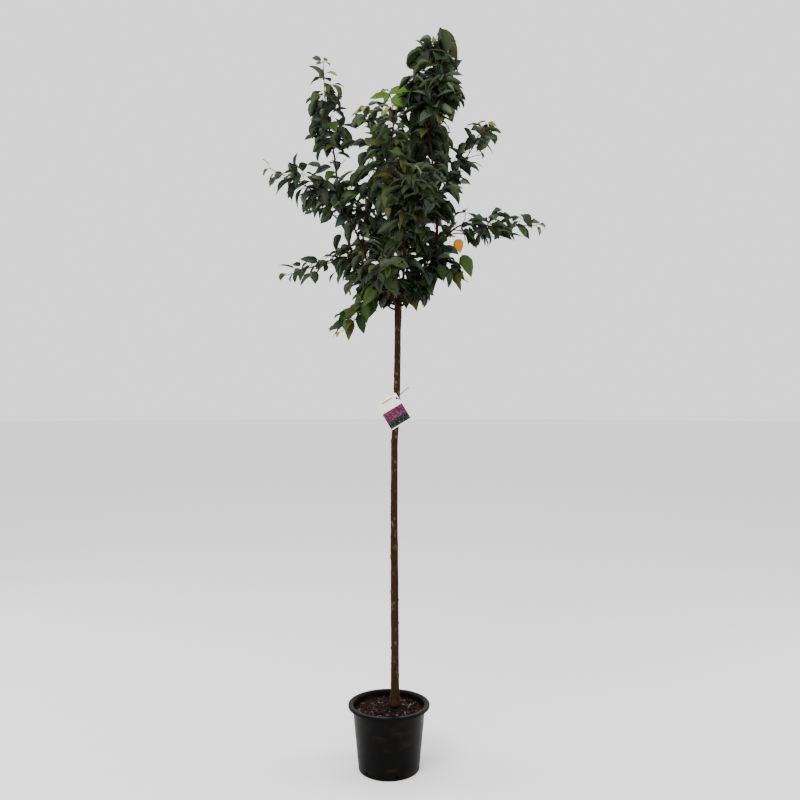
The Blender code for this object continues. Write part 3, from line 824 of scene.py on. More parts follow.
class CHERRY_OT_mix(bpy.types.Operator):
    """Fills the pot with potting mix"""

    bl_idname = "cherry.mix"
    bl_label = "Potting mix"

    def execute(self, context):
        wanted = settings().pot
        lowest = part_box("potting_mix")[0].z
        mix = unit_cylinder("mix", 96)
        for face in mix.data.polygons:
            face.select = face.normal.z > 0.9
        bpy.ops.object.mode_set(mode="EDIT")
        bpy.ops.mesh.select_mode(type="FACE")
        for _ in range(MIX_RINGS):
            bpy.ops.mesh.inset(thickness=1.0 / (MIX_RINGS + 1))
        bpy.ops.mesh.poke()
        bpy.ops.object.mode_set(mode="OBJECT")
        top_radius = POT_SHOULDER_RADIUS - wanted.wall - MIX_GAP
        foot_radius = POT_FOOT_RADIUS - wanted.wall - MIX_FOOT_GAP
        for vert in mix.data.vertices:
            if vert.co.z < 0.5:
                vert.co = (vert.co.x * foot_radius, vert.co.y * foot_radius, lowest)
            else:
                x, y = vert.co.x * top_radius, vert.co.y * top_radius
                vert.co = (x, y, mix_height(x, y))
        mix.data.materials.append(fine_mix(wanted))
        smooth(mix, 50.0)
        place_in_frame(mix, ["potting_mix"])
        return {"FINISHED"}


class CHERRY_OT_chips(bpy.types.Operator):
    """Scatters bark chips on the potting mix"""

    bl_idname = "cherry.chips"
    bl_label = "Bark chips"

    def execute(self, context):
        wanted = settings().pot
        draw = random.Random(CHIP_SEED)
        deselect()
        bpy.ops.mesh.primitive_cube_add(size=1.0)
        chip = bpy.context.object
        bpy.ops.object.mode_set(mode="EDIT")
        bpy.ops.mesh.bevel(offset=CHIP_BEVEL, segments=1)
        bpy.ops.object.mode_set(mode="OBJECT")
        shape = np.array([vert.co[:] for vert in chip.data.vertices])
        sides = [tuple(face.vertices) for face in chip.data.polygons]
        bpy.data.objects.remove(chip, do_unlink=True)
        points, faces, tones = [], [], []
        room = POT_SHOULDER_RADIUS - wanted.wall - MIX_EDGE
        for _ in range(wanted.chips):
            long = wanted.chip_length * draw.uniform(0.22, 1.0) ** 1.4
            broad = max(CHIP_NARROWEST, long * draw.uniform(0.25, 0.5))
            size = np.array([long, broad, draw.uniform(*CHIP_THICKNESS)])
            away = (room - long / 2) * math.sqrt(draw.random())
            bearing = draw.uniform(0.0, math.tau)
            x, y = away * math.cos(bearing), away * math.sin(bearing)
            if math.hypot(x - MIX_MOUND_X, y) < STEM_CLEARANCE + long / 2:
                continue
            turn = draw.uniform(0, math.tau)
            lean = draw.gauss(0, CHIP_LEAN)
            roll = draw.gauss(0, CHIP_ROLL)
            run, rise = math.cos(turn), math.sin(turn)
            lengthways = np.array([run * math.cos(lean), rise * math.cos(lean), math.sin(lean)])
            sideways = np.array([-rise * math.cos(roll), run * math.cos(roll), math.sin(roll)])
            basis = np.array([lengthways, sideways, np.cross(lengthways, sideways)])
            warped = shape * (1.0 + CHIP_WARP * np.array([[draw.uniform(-1, 1)] for _ in shape]))
            centre = np.array([x, y, mix_height(x, y) + CHIP_LIFT])
            base = len(points) * len(shape)
            points.append(centre + (warped * size) @ basis)
            faces += [tuple(base + corner for corner in side) for side in sides]
            tones += [draw.choice(CHIP_KINDS)] * len(sides)
        materials = [
            plain_material(f"chip_{number}", tint, 0.85, 0.06)
            for number, tint in enumerate(CHIP_TINTS)
        ]
        chips = piece_from_arrays("bark_chips", np.concatenate(points), faces, tones, materials)
        smooth(chips, 25.0)
        place_in_frame(chips)
        return {"FINISHED"}


def trunk_at(height):
    """The trunk's centre and radius at this height, along a smooth line through its stations."""
    last = len(TRUNK_STATIONS) - 1
    for place in range(last):
        if height <= TRUNK_STATIONS[place + 1][0] or place == last - 1:
            low, high = TRUNK_STATIONS[place], TRUNK_STATIONS[place + 1]
            share = (height - low[0]) / (high[0] - low[0])
            eased = share * share * (3.0 - 2.0 * share)
            return Vector((mixed(low[1], high[1], eased), 0.0, height)), mixed(low[2], high[2], share)


def apart(angles, bearing):
    """How far each angle is from the bearing, the short way round."""
    return (angles - math.radians(bearing) + math.pi) % math.tau - math.pi


def bark_relief(angles, heights, radii, wanted):
    """How far each point of the trunk stands out, and its marks: pores and scars."""
    draw = random.Random(BARK_SEED)
    out = np.zeros(len(angles))
    pore = np.zeros(len(angles))
    scar = np.zeros(len(angles))
    for place, (angle, height) in enumerate(zip(angles, heights)):
        side = Vector((math.cos(angle), math.sin(angle), 0.0))
        swelling = noise.fractal(side * 0.9 + Vector((0, 0, height * 14)), 1, 2, 3)
        ripple = noise.noise(side * 5.0 + Vector((0, 0, height * 9)))
        out[place] = wanted.unevenness * swelling + RIPPLE_DEPTH * ripple
    for _ in range(wanted.lenticels):
        height = draw.uniform(*LENTICEL_SPAN)
        bearing = draw.uniform(0, 360)
        wide = draw.uniform(*LENTICEL_WIDTH)
        near = np.abs(heights - height) < 5 * LENTICEL_TALL
        across = apart(angles[near], bearing)
        up = (heights[near] - height) / LENTICEL_TALL
        pad = np.exp(-((across * radii[near] / wide) ** 2) - up**2)
        out[near] += wanted.lenticel_height * pad
        pore[near] = np.maximum(pore[near], pad)
    for height, bearing, size, depth in SCARS:
        near = np.abs(heights - height) < 5 * size
        across = apart(angles[near], bearing)
        up = heights[near] - height
        reach = np.sqrt((across * radii[near]) ** 2 + up**2)
        out[near] += depth * np.exp(-((reach / size) ** 2))
        brow = np.exp(-(((reach - size) / (SCAR_BROW_WIDTH * size)) ** 2)) * (up > 0)
        out[near] += SCAR_BROW * brow
        pore[near] = np.maximum(pore[near], SCAR_BROW_TINT * brow)
        heart = np.exp(-((reach / (SCAR_HEART_WIDTH * size)) ** 2))
        out[near] -= SCAR_HEART_DEPTH * depth * heart
        scar[near] = np.maximum(scar[near], np.clip(SCAR_HEART_TINT * heart, 0, 1))
    return out, pore, scar


class CHERRY_OT_trunk(bpy.types.Operator):
    """Shapes the trunk and gives it the relief of cherry bark"""

    bl_idname = "cherry.trunk"
    bl_label = "Trunk"

    def execute(self, context):
        wanted = settings().bark
        trunk = unit_cylinder("trunk_bark", TRUNK_SIDES)
        points = trunk.data.vertices
        for item in (*trunk.data.polygons, *points):
            item.select = False
        for edge in trunk.data.edges:
            edge.select = abs(points[edge.vertices[0]].co.z - points[edge.vertices[1]].co.z) > 0.5
        bpy.ops.object.mode_set(mode="EDIT")
        bpy.ops.mesh.select_mode(type="EDGE")
        bpy.ops.mesh.subdivide(number_cuts=TRUNK_CUTS)
        bpy.ops.object.mode_set(mode="OBJECT")
        lowest, highest = TRUNK_STATIONS[0][0], TRUNK_STATIONS[-1][0]
        for vert in trunk.data.vertices:
            height = mixed(lowest, highest, vert.co.z)
            centre, radius = trunk_at(height)
            vert.co = centre + Vector((vert.co.x * radius, vert.co.y * radius, 0.0))
        finer = trunk.modifiers.new("finer", "SUBSURF")
        finer.levels = finer.render_levels = 1
        apply_modifiers(trunk)
        mesh = trunk.data
        co = np.zeros(len(mesh.vertices) * 3)
        mesh.vertices.foreach_get("co", co)
        co = co.reshape(-1, 3)
        centres = np.array([trunk_at(height)[0].x for height in co[:, 2]])
        angles = np.arctan2(co[:, 1], co[:, 0] - centres)
        radii = np.hypot(co[:, 0] - centres, co[:, 1])
        out, pore, scar = bark_relief(angles, co[:, 2], radii, wanted)
        lobe = FLARE_DEPTH * np.exp(-(((co[:, 2] - lowest) / FLARE_HEIGHT) ** 2))
        grown = radii * (1.0 + lobe * np.cos(FLARE_ROOTS * angles + 0.6))
        grown += out * np.clip(radii / 0.006, 0, 1)
        co[:, 0] = centres + grown * np.cos(angles)
        co[:, 1] = grown * np.sin(angles)
        mesh.vertices.foreach_set("co", co.ravel())
        for name, values in (("pore", pore), ("scar", scar)):
            mesh.attributes.new(name, "FLOAT", "POINT").data.foreach_set("value", values)
        mesh.materials.append(bark_material("trunk_bark", wanted, True))
        smooth(trunk, 60.0)
        place_in_frame(trunk, ["trunk"])
        return {"FINISHED"}


def out_from_fork(bearing, reach, height):
    """The point at this bearing, reach and height from the trunk's upper end."""
    turn = math.radians(bearing)
    return Vector((FORK_X + reach * math.cos(turn), reach * math.sin(turn), height))


def around(along, bearing):
    """The direction square to a shoot, at this bearing round it."""
    across = along.orthogonal().normalized()
    return across * math.cos(bearing) + along.cross(across) * math.sin(bearing)


def cubic(start, handle, other_handle, end, steps):
    """Points along a smooth curve between two ends and their handles."""
    line = []
    for step in range(steps + 1):
        share = step / steps
        rest = 1.0 - share
        line.append(
            start * rest**3
            + handle * 3 * rest**2 * share
            + other_handle * 3 * rest * share**2
            + end * share**3
        )
    return line


class Canopy:
    """The limbs, shoots and leaves of the whole crown, grown by a seeded rule."""

    def __init__(self, wanted):
        self.wanted = wanted
        self.draw = random.Random(wanted.seed)
        self.walls = {name: self.wall(f"foliage_{name}") for name in LIMBS}
        self.limbs = {}
        self.shoots = {name: [] for name in LIMBS}
        self.leaves = {name: [] for name in LIMBS}
        for name in (*BOUGH_FEET, *BRANCH_FEET):
            self.grow_limb(name)
        for name in LIMBS:
            self.clothe(name)
        self.add_marked_leaves()

    def wall(self, node):
        """A search tree on a mass's own surface."""
        bm = bmesh.new()
        bm.from_mesh(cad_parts[node].data)
        bmesh.ops.remove_doubles(bm, verts=bm.verts, dist=1e-6)
        tree = BVHTree.FromBMesh(bm)
        bm.free()
        return tree

    def outside_by(self, point):
        """How far a point is outside all the masses: below zero is inside."""
        best = 1.0
        for tree in self.walls.values():
            near, normal, _, away = tree.find_nearest(point)
            best = min(best, away if (point - near).dot(normal) > 0 else -away)
        return best

    def room(self, foot, way):
        """How far a shoot can run this way before it leaves the masses."""
        reach = LEAF_REACH
        while reach < LONGEST_SHOOT and self.outside_by(foot + way * reach) < 0.0:
            reach += SHOOT_STEP
        return reach

    def grow_limb(self, name):
        """One limb from its foot to the tip of its mass."""
        bearing, reach, height, outer_reach, outer_height = LIMBS[name]
        inner = out_from_fork(bearing, reach, height)
        outer = out_from_fork(bearing, outer_reach, outer_height)
        if name in BOUGH_FEET:
            foot_bearing, foot_height, radius = BOUGH_FEET[name]
            centre, trunk_radius = trunk_at(foot_height)
            turn = math.radians(foot_bearing)
            outward = Vector((math.cos(turn), math.sin(turn), 0.0))
            line = [centre + outward * (trunk_radius - BOUGH_SUNK)]
            start = centre + outward * (trunk_radius + BOUGH_ROOT)
        else:
            parent, share = BRANCH_FEET[name]
            trunk_line, _ = self.limbs[parent]
            place = int(share * len(trunk_line))
            start = trunk_line[place]
            outward = (trunk_line[place + 1] - start).normalized()
            radius = BRANCH_RADIUS
            line = []
        end = inner.lerp(outer, 0.2)
        span = (end - start).length
        handle = start + outward * span * BOUGH_SPREAD + Vector((0.0, 0.0, span * BOUGH_RISE))
        other_handle = end - (outer - inner).normalized() * span * BOUGH_SPREAD
        line += cubic(start, handle, other_handle, end, max(6, int(span / SHOOT_STEP)))
        tip = inner.lerp(outer, LIMB_TIP)
        steps = max(6, int((tip - end).length / SHOOT_STEP))
        across = (outer - inner).orthogonal().normalized()
        wave = self.draw.uniform(0.0, math.tau)
        for step in range(1, steps + 1):
            share = step / steps
            bend = LIMB_WAVE * math.sin(share * 5.0 + wave) - LIMB_WAVE * math.sin(wave)
            line.append(end.lerp(tip, share) + across * bend * share)
        radii = []
        for place in range(len(line)):
            share = place / (len(line) - 1)
            radii.append(mixed(radius, LIMB_END_RADIUS, share**0.75))
        self.limbs[name] = (line, radii)

    def clothe(self, name):
        """Side shoots and leaves on the part of a limb that runs in or near the foliage."""
        wanted = self.wanted
        size, leaf_gap, side_gap, tones = CLOTHING.get(name, DEFAULT_CLOTHING)
        line, _ = self.limbs[name]
        near = [self.outside_by(point) < CLOTHED_WITHIN for point in line]
        start = near.index(True) if any(near) else 0
        bearing = self.draw.uniform(0.0, math.tau)
        since_leaf = since_side = 0.0
        for place in range(start, len(line) - 1):
            along = (line[place + 1] - line[place]).normalized()
            to_tip = (len(line) - place) / len(line)
            since_leaf += SHOOT_STEP
            since_side += SHOOT_STEP
            if since_side > wanted.side_spacing * side_gap and to_tip > BARE_TIP:
                since_side = 0.0
                bearing += GOLDEN_ANGLE
                self.grow_side(name, line[place], along, bearing, size, leaf_gap, tones, 1)
            if since_leaf > wanted.internode * leaf_gap:
                since_leaf = 0.0
                bearing += GOLDEN_ANGLE
                tone = "young" if to_tip < YOUNG_TIP else self.draw.choice(tones)
                scale = size * (0.45 + 0.55 * min(1.0, to_tip / TAPERING_TIP))
                self.add_leaf(name, line[place], along, bearing, scale, tone)
        tip_way = (line[-1] - line[-3]).normalized()
        self.add_tuft(name, line[-1], tip_way, LIMB_TUFT * size, "young", 4)

    def grow_side(self, name, foot, along, bearing, size, leaf_gap, tones, order):
        """A side shoot with its leaves, as long as the room in the foliage lets it be."""
        wanted = self.wanted
        outward = around(along, bearing)
        lean = self.draw.uniform(0.45, 0.75)
        way = (along * lean + outward * 0.85 + Vector((0, 0, 0.18))).normalized()
        long = (self.room(foot, way) - LEAF_REACH) * self.draw.uniform(0.7, 1.05)
        tone = self.draw.choice(tones)
        if long < SHORTEST_SHOOT:
            self.add_tuft(name, foot + way * 0.006, way, SHOOT_TUFT * size, tone, 2)
            return
        steps = max(4, int(long / SHOOT_STEP))
        drop = self.draw.uniform(-0.10, 0.16)
        line = [foot]
        for step in range(1, steps + 1):
            share = step / steps
            sag = Vector((0, 0, -drop * long * share * share))
            jitter = Vector([self.draw.gauss(0, 0.0012) for _ in range(3)])
            line.append(foot + way * long * share + sag + jitter)
        thin, short, stout = SHOOT_RADII
        self.shoots[name].append((line, mixed(short, stout, min(1.0, long / 0.2)), thin))
        turn = self.draw.uniform(0.0, math.tau)
        since = 0.0
        for place in range(1, len(line) - 1):
            since += long / steps
            along_here = (line[place + 1] - line[place]).normalized()
            if since < wanted.internode * leaf_gap:
                continue
            since = 0.0
            turn += GOLDEN_ANGLE
            self.add_leaf(name, line[place], along_here, turn, size, tone)
            if order < 2 and long > FORKING_SHOOT and self.draw.random() < FORKING_CHANCE:
                self.grow_side(name, line[place], along_here, turn + 2.0, size, leaf_gap, tones, 2)
        tip_way = (line[-1] - line[-2]).normalized()
        self.add_tuft(name, line[-1], tip_way, SHOOT_TUFT * size, tone, 3)

    def add_tuft(self, name, foot, along, scale, tone, count):
        """The last few leaves at the end of a shoot."""
        turn = self.draw.uniform(0.0, math.tau)
        for _ in range(count):
            turn += math.tau / count
            self.add_leaf(name, foot, along, turn, scale * self.draw.uniform(0.8, 1.1), tone, 0.9)

    def add_leaf(self, name, foot, along, bearing, scale, tone, forward=0.45):
        """A leaf on its stalk, drooping, if it stays in the crown and out of the sky."""
        wanted, draw = self.wanted, self.draw
        outward = around(along, bearing)
        stalk_way = (along * forward + outward * 0.9 + Vector((0, 0, 0.10))).normalized()
        stalk = wanted.stalk * draw.uniform(0.75, 1.25) * min(1.0, scale + 0.2)
        base = foot + stalk_way * stalk + Vector((0, 0, -0.15 * stalk))
        droop = draw.uniform(0.35, 1.15)
        way = (stalk_way + Vector((0, 0, -droop))).normalized()
        length = wanted.leaf_length * scale * draw.uniform(0.78, 1.18)
        bend = draw.uniform(0.35, 0.95)
        for shorter in (1.0, 0.8):
            tip = base + way * length * shorter * 0.9 + Vector((0, 0, -0.2 * bend * length))
            if self.outside_by(tip) < OUTSIDE_LIMIT and self.clear_of_sky(base, tip):
                self.store_leaf(name, foot, base, way, length * shorter, bend, tone)
                return

    def clear_of_sky(self, base, tip):
        """Whether the leaf leaves the openings free, seen from the front."""
        for share in (0.35, 0.65, 0.95):
            point = base.lerp(tip, share)
            depth = (point.y - CAMERA_PLACE[1]) / -CAMERA_PLACE[1]
            x = CAMERA_PLACE[0] + (point.x - CAMERA_PLACE[0]) / depth
            z = CAMERA_PLACE[2] + (point.z - CAMERA_PLACE[2]) / depth
            for sky_x, sky_z, wide, tall in SKY:
                if ((x - sky_x) / wide) ** 2 + ((z - sky_z) / tall) ** 2 < 1.0:
                    return False
        return True

    def store_leaf(self, name, foot, base, way, length, bend, tone, width=None, towards=None):
        """Keeps a leaf with its own frame: the way it points and the way its face looks."""
        draw = self.draw
        looks = towards or Vector((0, 0, 1))
        face = looks - way * way.dot(looks)
        if face.length < 0.35:
            outward = base - Vector((FORK_X, 0.0, base.z))
            face = outward - way * outward.dot(way)
        face = face.normalized()
        side = face.cross(way)
        roll = draw.gauss(0.0, 0.10 if towards else 0.45)
        face = (face * math.cos(roll) + side * math.sin(roll)).normalized()
        share = width or self.wanted.leaf_width * draw.uniform(0.85, 1.15)
        self.leaves[name].append(
            {
                "foot": foot,
                "base": base,
                "way": way,
                "face": face,
                "length": length,
                "half_width": length * share / 2,
                "bend": bend,
                "fold": draw.uniform(0.12, 0.55),
                "twist": draw.gauss(0.0, 0.30),
                "tone": tone,
            }
        )

    def add_marked_leaves(self):
        """The few leaves that stand out, each on a stalk from the nearest point of its limb."""
        for name, foot, way, length, width, tone in MARKED_LEAVES:
            base = Vector(foot)
            line = self.limbs[name][0]
            carrier = min(line, key=lambda point: (point - base).length)
            if (carrier - base).length > 0.03:
                middle = carrier.lerp(base, 0.5) + Vector((0, 0, 0.01))
                self.shoots[name].append(([carrier, middle, base], 0.0014, 0.0010))
                carrier = middle.lerp(base, 0.8)
            along = Vector(way).normalized()
            self.store_leaf(name, carrier, base, along, length, 0.35, tone, width, MARKED_FACE)


canopies = {}


def canopy():
    """The crown for the present settings, grown once and then shared by the pieces made from it."""
    wanted = settings().canopy
    lengths = (wanted.leaf_length, wanted.leaf_width, wanted.internode, wanted.side_spacing)
    key = (wanted.seed, *lengths, wanted.stalk)
    if key not in canopies:
        canopies[key] = Canopy(wanted)
    return canopies[key]


def tube_piece(name, lines, materials, resolution):
    """Tapering round tubes along the lines, as one mesh. Each line has points, radii and a tone."""
    curve = bpy.data.curves.new(name, "CURVE")
    curve.dimensions = "3D"
    curve.bevel_depth = 1.0
    curve.bevel_resolution = resolution
    curve.use_fill_caps = True
    for material in materials:
        curve.materials.append(material)
    for points, radii, tone in lines:
        spline = curve.splines.new("POLY")
        spline.points.add(len(points) - 1)
        spline.material_index = tone
        for point, place, radius in zip(spline.points, points, radii):
            point.co = (*place, 1.0)
            point.radius = radius
    select_only(linked(name, curve))
    bpy.ops.object.convert(target="MESH")
    bpy.ops.object.mode_set(mode="EDIT")
    finish_edit(1e-6)
    return bpy.context.object


class CHERRY_OT_limbs(bpy.types.Operator):
    """Grows the boughs and leading shoots, with knobbly bark"""

    bl_idname = "cherry.limbs"
    bl_label = "Limbs"

    def execute(self, context):
        made = canopy()
        bark = bark_material("limb_bark", settings().bark, False)
        for name in LIMBS:
            line, radii = made.limbs[name]
            swollen = []
            for place, (point, radius) in enumerate(zip(line, radii)):
                node = LIMB_NODE * (place % LIMB_NODE_EVERY == 0)
                swollen.append(radius * (1.0 + LIMB_SWELLING * noise.noise(point * 55.0) + node))
            limb = tube_piece(f"limb_{name}", [(line, swollen, 0)], [bark], 4)
            smooth(limb, 60.0)
            nodes = [f"bough_{name}"] if name in BOUGH_FEET else []
            place_in_frame(limb, nodes)
        return {"FINISHED"}


class CHERRY_OT_twigs(bpy.types.Operator):
    """Grows the side shoots and the leaf stalks of every mass"""

    bl_idname = "cherry.twigs"
    bl_label = "Twigs"

    def execute(self, context):
        made = canopy()
        wanted = settings().bark
        materials = [twig_bark(wanted), plain_material("petiole", wanted.petiole, 0.5, 0.4)]
        for name in LIMBS:
            lines = []
            for points, thick, thin in made.shoots[name]:
                last = len(points) - 1
                radii = [mixed(thick, thin, place / last) for place in range(last + 1)]
                lines.append((points, radii, 0))
            for leaf in made.leaves[name]:
                foot, base = leaf["foot"], leaf["base"]
                middle = foot.lerp(base, 0.55) + Vector((0, 0, 0.10 * (base - foot).length))
                into = base + leaf["way"] * 0.10 * leaf["length"]
                lines.append(([foot, middle, base, into], STALK_RADII, 1))
            twigs = tube_piece(f"twigs_{name}", lines, materials, 1)
            smooth(twigs, 60.0)
            place_in_frame(twigs)
        return {"FINISHED"}


def leaf_pattern():
    """The faces of one leaf, its upper side first, and the place of each point in its outline."""
    rows = len(LEAF_OUTLINE) - 1
    columns = len(LEAF_COLUMNS)
    places = [(row, column) for row in range(rows) for column in LEAF_COLUMNS]
    tip = len(places)
    places.append((rows, 0.0))
    below = len(places)
    places += [(row, None) for row in range(rows)]
    upper, lower = [], []
    for row in range(rows):
        for column in range(columns - 1):
            near = row * columns + column
            far = near + columns
            if row < rows - 1:
                upper.append((near, far, far + 1, near + 1))
            else:
                upper.append((near, tip, near + 1))
        left, right, under = row * columns, row * columns + columns - 1, below + row
        if row < rows - 1:
            lower.append((left, under, under + 1, left + columns))
            lower.append((under, right, right + columns, under + 1))
        else:
            lower.append((left, under, tip))
            lower.append((under, right, tip))
    lower.append((0, 1, 2, 3, 4, below))
    return places, upper, lower


def leaf_points(leaf, places, draw):
    """The points of one leaf, arched along its length and folded along its midrib."""
    way, face = leaf["way"], leaf["face"]
    side = face.cross(way).normalized()
    lean = leaf["fold"]
    ribs, centre, before = [], leaf["base"].copy(), 0.0
    for share, _ in LEAF_OUTLINE:
        turn = leaf["bend"] * share**1.3
        run = way * math.cos(turn) - face * math.sin(turn)
        centre = centre + run * leaf["length"] * (share - before)
        before = share
        up = face * math.cos(turn) + way * math.sin(turn)
        twist = leaf["twist"] * share
        across = side * math.cos(twist) + up * math.sin(twist)
        up = up * math.cos(twist) - side * math.sin(twist)
        ribs.append((centre, across, up))
    wave = draw.uniform(0.0, math.tau)
    points = []
    for row, column in places:
        centre, across, up = ribs[row]
        if column is None:
            points.append(centre - up * LEAF_THICKNESS)
            continue
        share, wide = LEAF_OUTLINE[row]
        half = leaf["half_width"] * wide
        out = abs(column)
        lift = half * out * math.sin(lean)
        if out == 0.5:
            lift += LEAF_PILLOW * wide * (1.0 if row % 2 else 0.45)
        if out == 1.0:
            half *= 1.04 if row % 2 else 0.97
            lift += LEAF_RIPPLE * wide * math.sin(9.0 * share + wave + column)
        points.append(centre + across * column * half * math.cos(lean) + up * lift)
    return points


class CHERRY_OT_leaves(bpy.types.Operator):
    """Hangs the leaves of every mass, each spray in its own tone"""

    bl_idname = "cherry.leaves"
    bl_label = "Leaves"

    def execute(self, context):
        made = canopy()
        colours = settings().canopy
        materials = [
            plain_material(f"leaf_{tone}", getattr(colours, tone), 0.45, 0.11) for tone in LEAF_TONES
        ]
        materials.append(plain_material("leaf_under_dark", colours.under_dark, 0.6, 0.25))
        materials.append(plain_material("leaf_under_pale", colours.under_pale, 0.6, 0.25))
        places, upper, lower = leaf_pattern()
        draw = random.Random(RIPPLE_SEED)
        for name in LIMBS:
            points, faces, tones = [], [], []
            for number, leaf in enumerate(made.leaves[name]):
                base = number * len(places)
                points += leaf_points(leaf, places, draw)
                faces += [tuple(base + corner for corner in face) for face in (*upper, *lower)]
                tones += [LEAF_TONES.index(leaf["tone"])] * len(upper)
                tones += [len(LEAF_TONES) + (leaf["tone"] in PALE_TONES)] * len(lower)
            leaves = piece_from_arrays(f"leaves_{name}", points, faces, tones, materials)
            place_in_frame(leaves, [f"foliage_{name}"])
        return {"FINISHED"}


def label_print(colours):
    """Plum print with soft pink blots, a generic pattern of its own."""
    made = plain_material("label_plum", colours.plum, 0.35, 0.15)
    colour_over(made, add_noise(made, 130.0, 3.0), colours.plum, colours.pink, 0.46, 0.66)
    return made


def label_shade(colours):
    """Dark print, mottled with grey-green."""
    made = plain_material("label_shade", colours.shade, 0.35, 0.10)
    pale = (0.060, 0.075, 0.062)
    colour_over(made, add_noise(made, 200.0, 4.0), colours.shade, pale, 0.48, 0.72)
    return made


class CHERRY_OT_label(bpy.types.Operator):
    """Makes the curled hanging card with its plain printed bands"""

    bl_idname = "cherry.label"
    bl_label = "Label"

    def execute(self, context):
        wanted = settings().label
        deselect()
        bpy.ops.mesh.primitive_grid_add(x_subdivisions=26, y_subdivisions=60, size=1.0)
        card = bpy.context.object
        card.name = "label_card"
        half = Vector((LABEL_WIDTH / 2, LABEL_HEIGHT / 2))
        for vert in card.data.vertices:
            x, y = vert.co.x * LABEL_WIDTH, vert.co.y * LABEL_HEIGHT
            corner = Vector((abs(x), abs(y))) - (half - Vector((LABEL_CORNER, LABEL_CORNER)))
            if corner.x > 0 and corner.y > 0 and corner.length > LABEL_CORNER:
                kept = corner.normalized() * LABEL_CORNER
                x = math.copysign(half.x - LABEL_CORNER + kept.x, x)
                y = math.copysign(half.y - LABEL_CORNER + kept.y, y)
            vert.co = (x, y, 0.0)
        materials = [
            plain_material("label_white", wanted.card, 0.40, 0.5),
            label_print(wanted),
            label_shade(wanted),
            plain_material("label_stripe", wanted.stripe, 0.40, 0.5),
        ]
        for material in materials:
            card.data.materials.append(material)
        for face in card.data.polygons:
            up = face.center.y / LABEL_HEIGHT + 0.5
            on_stripe = LABEL_STRIPE[0] < up < LABEL_STRIPE[1]
            if on_stripe and abs(face.center.x) < LABEL_STRIPE_HALF:
                face.material_index = 3
            elif LABEL_DARK_TOP < up <= LABEL_PLUM_TOP:
                face.material_index = 1
            elif LABEL_EDGE_TOP <= up <= LABEL_DARK_TOP:
                face.material_index = 2
        thick = card.modifiers.new("thick", "SOLIDIFY")
        thick.thickness = LABEL_THICKNESS * LABEL_CARD_SHARE
        thick.offset = 0.0
        apply_modifiers(card)
        for face in card.data.polygons:
            if face.normal.z < 0.5:
                face.material_index = 0
        place = (half.x - LABEL_HOLE_INSET[0], half.y - LABEL_HOLE_INSET[1], 0.0)
        bore(card, 32, LABEL_HOLE_RADIUS, 8 * LABEL_THICKNESS, place)
        for vert in card.data.vertices:
            vert.co.z += wanted.curl * (vert.co.x / half.x) ** 2
        card.location = (LABEL_X, LABEL_BACK_Y - LABEL_THICKNESS / 2, LABEL_Z)
        card.rotation_euler = (math.pi / 2, math.radians(LABEL_TURN), 0.0)
        smooth(card, 30.0)
        place_in_frame(card, ["label"])
        return {"FINISHED"}


class CHERRY_OT_label_tie(bpy.types.Operator):
    """Winds the wire tie round the trunk and through the card"""

    bl_idname = "cherry.label_tie"
    bl_label = "Label tie"

    def execute(self, context):
        wanted = settings().label
        centre, _ = trunk_at((TIE_START_Z + TIE_END_Z) / 2)
        loop = []
        for step in range(TIE_STEPS + 1):
            share = step / TIE_STEPS
            bearing = TIE_START_BEARING + TIE_TURN * share
            off_bulge = (bearing - 360.0 - TIE_BULGE_BEARING) / TIE_BULGE_WIDTH
            radius = TIE_LOOP_RADIUS + TIE_BULGE * math.exp(-off_bulge * off_bulge)
            turn = math.radians(bearing)
            height = mixed(TIE_START_Z, TIE_END_Z, share)
            loop.append(
                Vector((centre.x + radius * math.cos(turn), radius * math.sin(turn), height))
            )
        tail = [loop[0] + TIE_TAIL * (1.0 - step / TAIL_STEPS) for step in range(TAIL_STEPS)]
        line = tail + loop
        radii = [wanted.wire * (1.0 + 0.10 * math.sin(place * 1.4)) for place in range(len(line))]
        wire = plain_material("dark_wire", wanted.wire_colour, 0.45, 0.3)
        add_bump(wire, add_noise(wire, 700.0, 2.0), 0.4, 0.0004)
        tie = tube_piece("wire_tie", [(line, radii, 0)], [wire], 3)
        smooth(tie, 60.0)
        place_in_frame(tie, ["label_tie"])
        return {"FINISHED"}


def add_area_light(name, place, target, size, power):
    """A large soft light that looks at the target."""
    lamp = bpy.data.lights.new(name, "AREA")
    lamp.shape = "RECTANGLE"
    lamp.size, lamp.size_y = size
    lamp.energy = power
    holder = linked(name, lamp)
    holder.location = place
    way = Vector(target) - Vector(place)
    holder.rotation_euler = way.to_track_quat("-Z", "Y").to_euler()


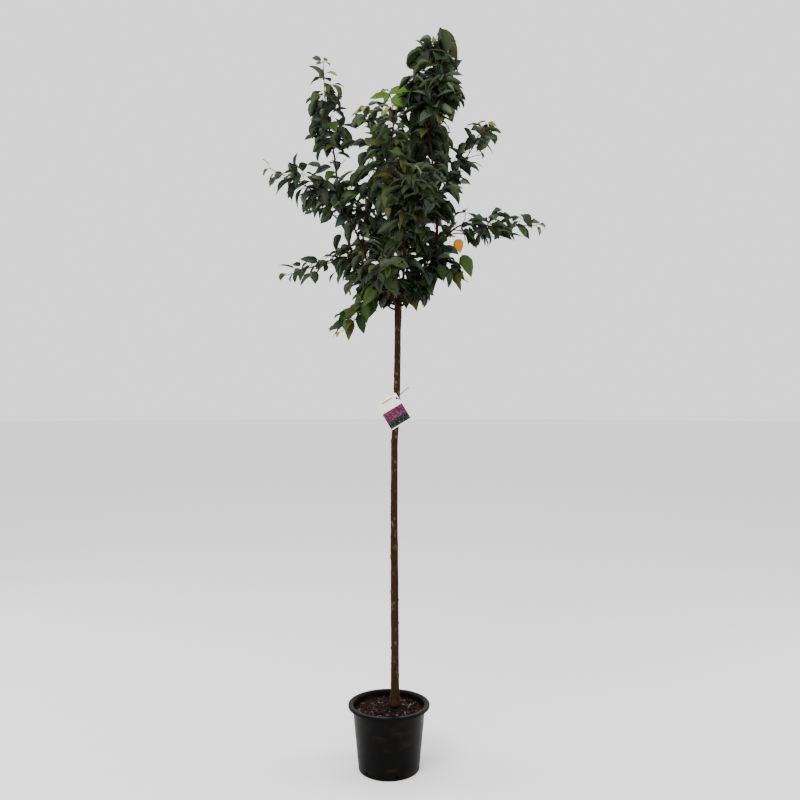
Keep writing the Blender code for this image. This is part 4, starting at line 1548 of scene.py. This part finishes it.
class CHERRY_OT_stage(bpy.types.Operator):
    """Sets a plain pale floor, soft studio light and the camera"""

    bl_idname = "cherry.stage"
    bl_label = "Stage"

    def execute(self, context):
        wanted = settings().stage
        deselect()
        bpy.ops.mesh.primitive_circle_add(vertices=96, radius=FLOOR_RADIUS, fill_type="NGON")
        floor = bpy.context.object
        floor.name = "floor"
        floor.data.materials.append(plain_material("floor", wanted.floor, 0.9, 0.0))
        world = bpy.data.worlds.new("surround")
        world.use_nodes = True
        background = world.node_tree.nodes["Background"].inputs
        background["Color"].default_value = (1.0, 1.0, 1.0, 1.0)
        background["Strength"].default_value = wanted.sky
        context.scene.world = world
        add_area_light("key", *KEY_LIGHT, wanted.key)
        add_area_light("side_left", *LEFT_LIGHT, wanted.fill)
        add_area_light("side_right", *RIGHT_LIGHT, wanted.fill)
        lens = bpy.data.cameras.new("camera")
        lens.lens = CAMERA_LENS
        lens.sensor_width = 36.0
        camera = linked("camera", lens)
        camera.location = CAMERA_PLACE
        camera.rotation_euler = (math.pi / 2, 0.0, 0.0)
        context.scene.camera = camera
        return {"FINISHED"}


class CherrySettings(bpy.types.PropertyGroup):
    """Every setting of the add-on."""

    pot: PointerProperty(type=CherryPotSettings)
    bark: PointerProperty(type=CherryBarkSettings)
    canopy: PointerProperty(type=CherryCanopySettings)
    label: PointerProperty(type=CherryLabelSettings)
    stage: PointerProperty(type=CherryStageSettings)


BUILDERS = (
    CHERRY_OT_pot,
    CHERRY_OT_mix,
    CHERRY_OT_chips,
    CHERRY_OT_trunk,
    CHERRY_OT_limbs,
    CHERRY_OT_twigs,
    CHERRY_OT_leaves,
    CHERRY_OT_label,
    CHERRY_OT_label_tie,
    CHERRY_OT_stage,
)


class CHERRY_PT_panel(bpy.types.Panel):
    """Settings and builders in the sidebar"""

    bl_label = "Potted cherry"
    bl_idname = "CHERRY_PT_panel"
    bl_space_type = "VIEW_3D"
    bl_region_type = "UI"
    bl_category = "Cherry"

    def draw(self, context):
        for group_name in ("pot", "bark", "canopy", "label", "stage"):
            box = self.layout.box()
            box.label(text=group_name.capitalize())
            group = getattr(context.scene.cherry, group_name)
            for key in group.__annotations__:
                box.prop(group, key)
        for builder in BUILDERS:
            self.layout.operator(builder.bl_idname)


CLASSES = (
    CherryPotSettings,
    CherryBarkSettings,
    CherryCanopySettings,
    CherryLabelSettings,
    CherryStageSettings,
    CherrySettings,
    *BUILDERS,
    CHERRY_PT_panel,
)


def register():
    """Adds the add-on's classes and settings to Blender."""
    for item in CLASSES:
        bpy.utils.register_class(item)
    bpy.types.Scene.cherry = PointerProperty(type=CherrySettings)


def unregister():
    """Takes the add-on's classes and settings out of Blender."""
    del bpy.types.Scene.cherry
    for item in reversed(CLASSES):
        bpy.utils.unregister_class(item)


def main():
    """Builds every piece in order."""
    register()
    for builder in BUILDERS:
        getattr(bpy.ops.cherry, builder.bl_idname.split(".")[1])()


if __name__ == "__main__":
    main()
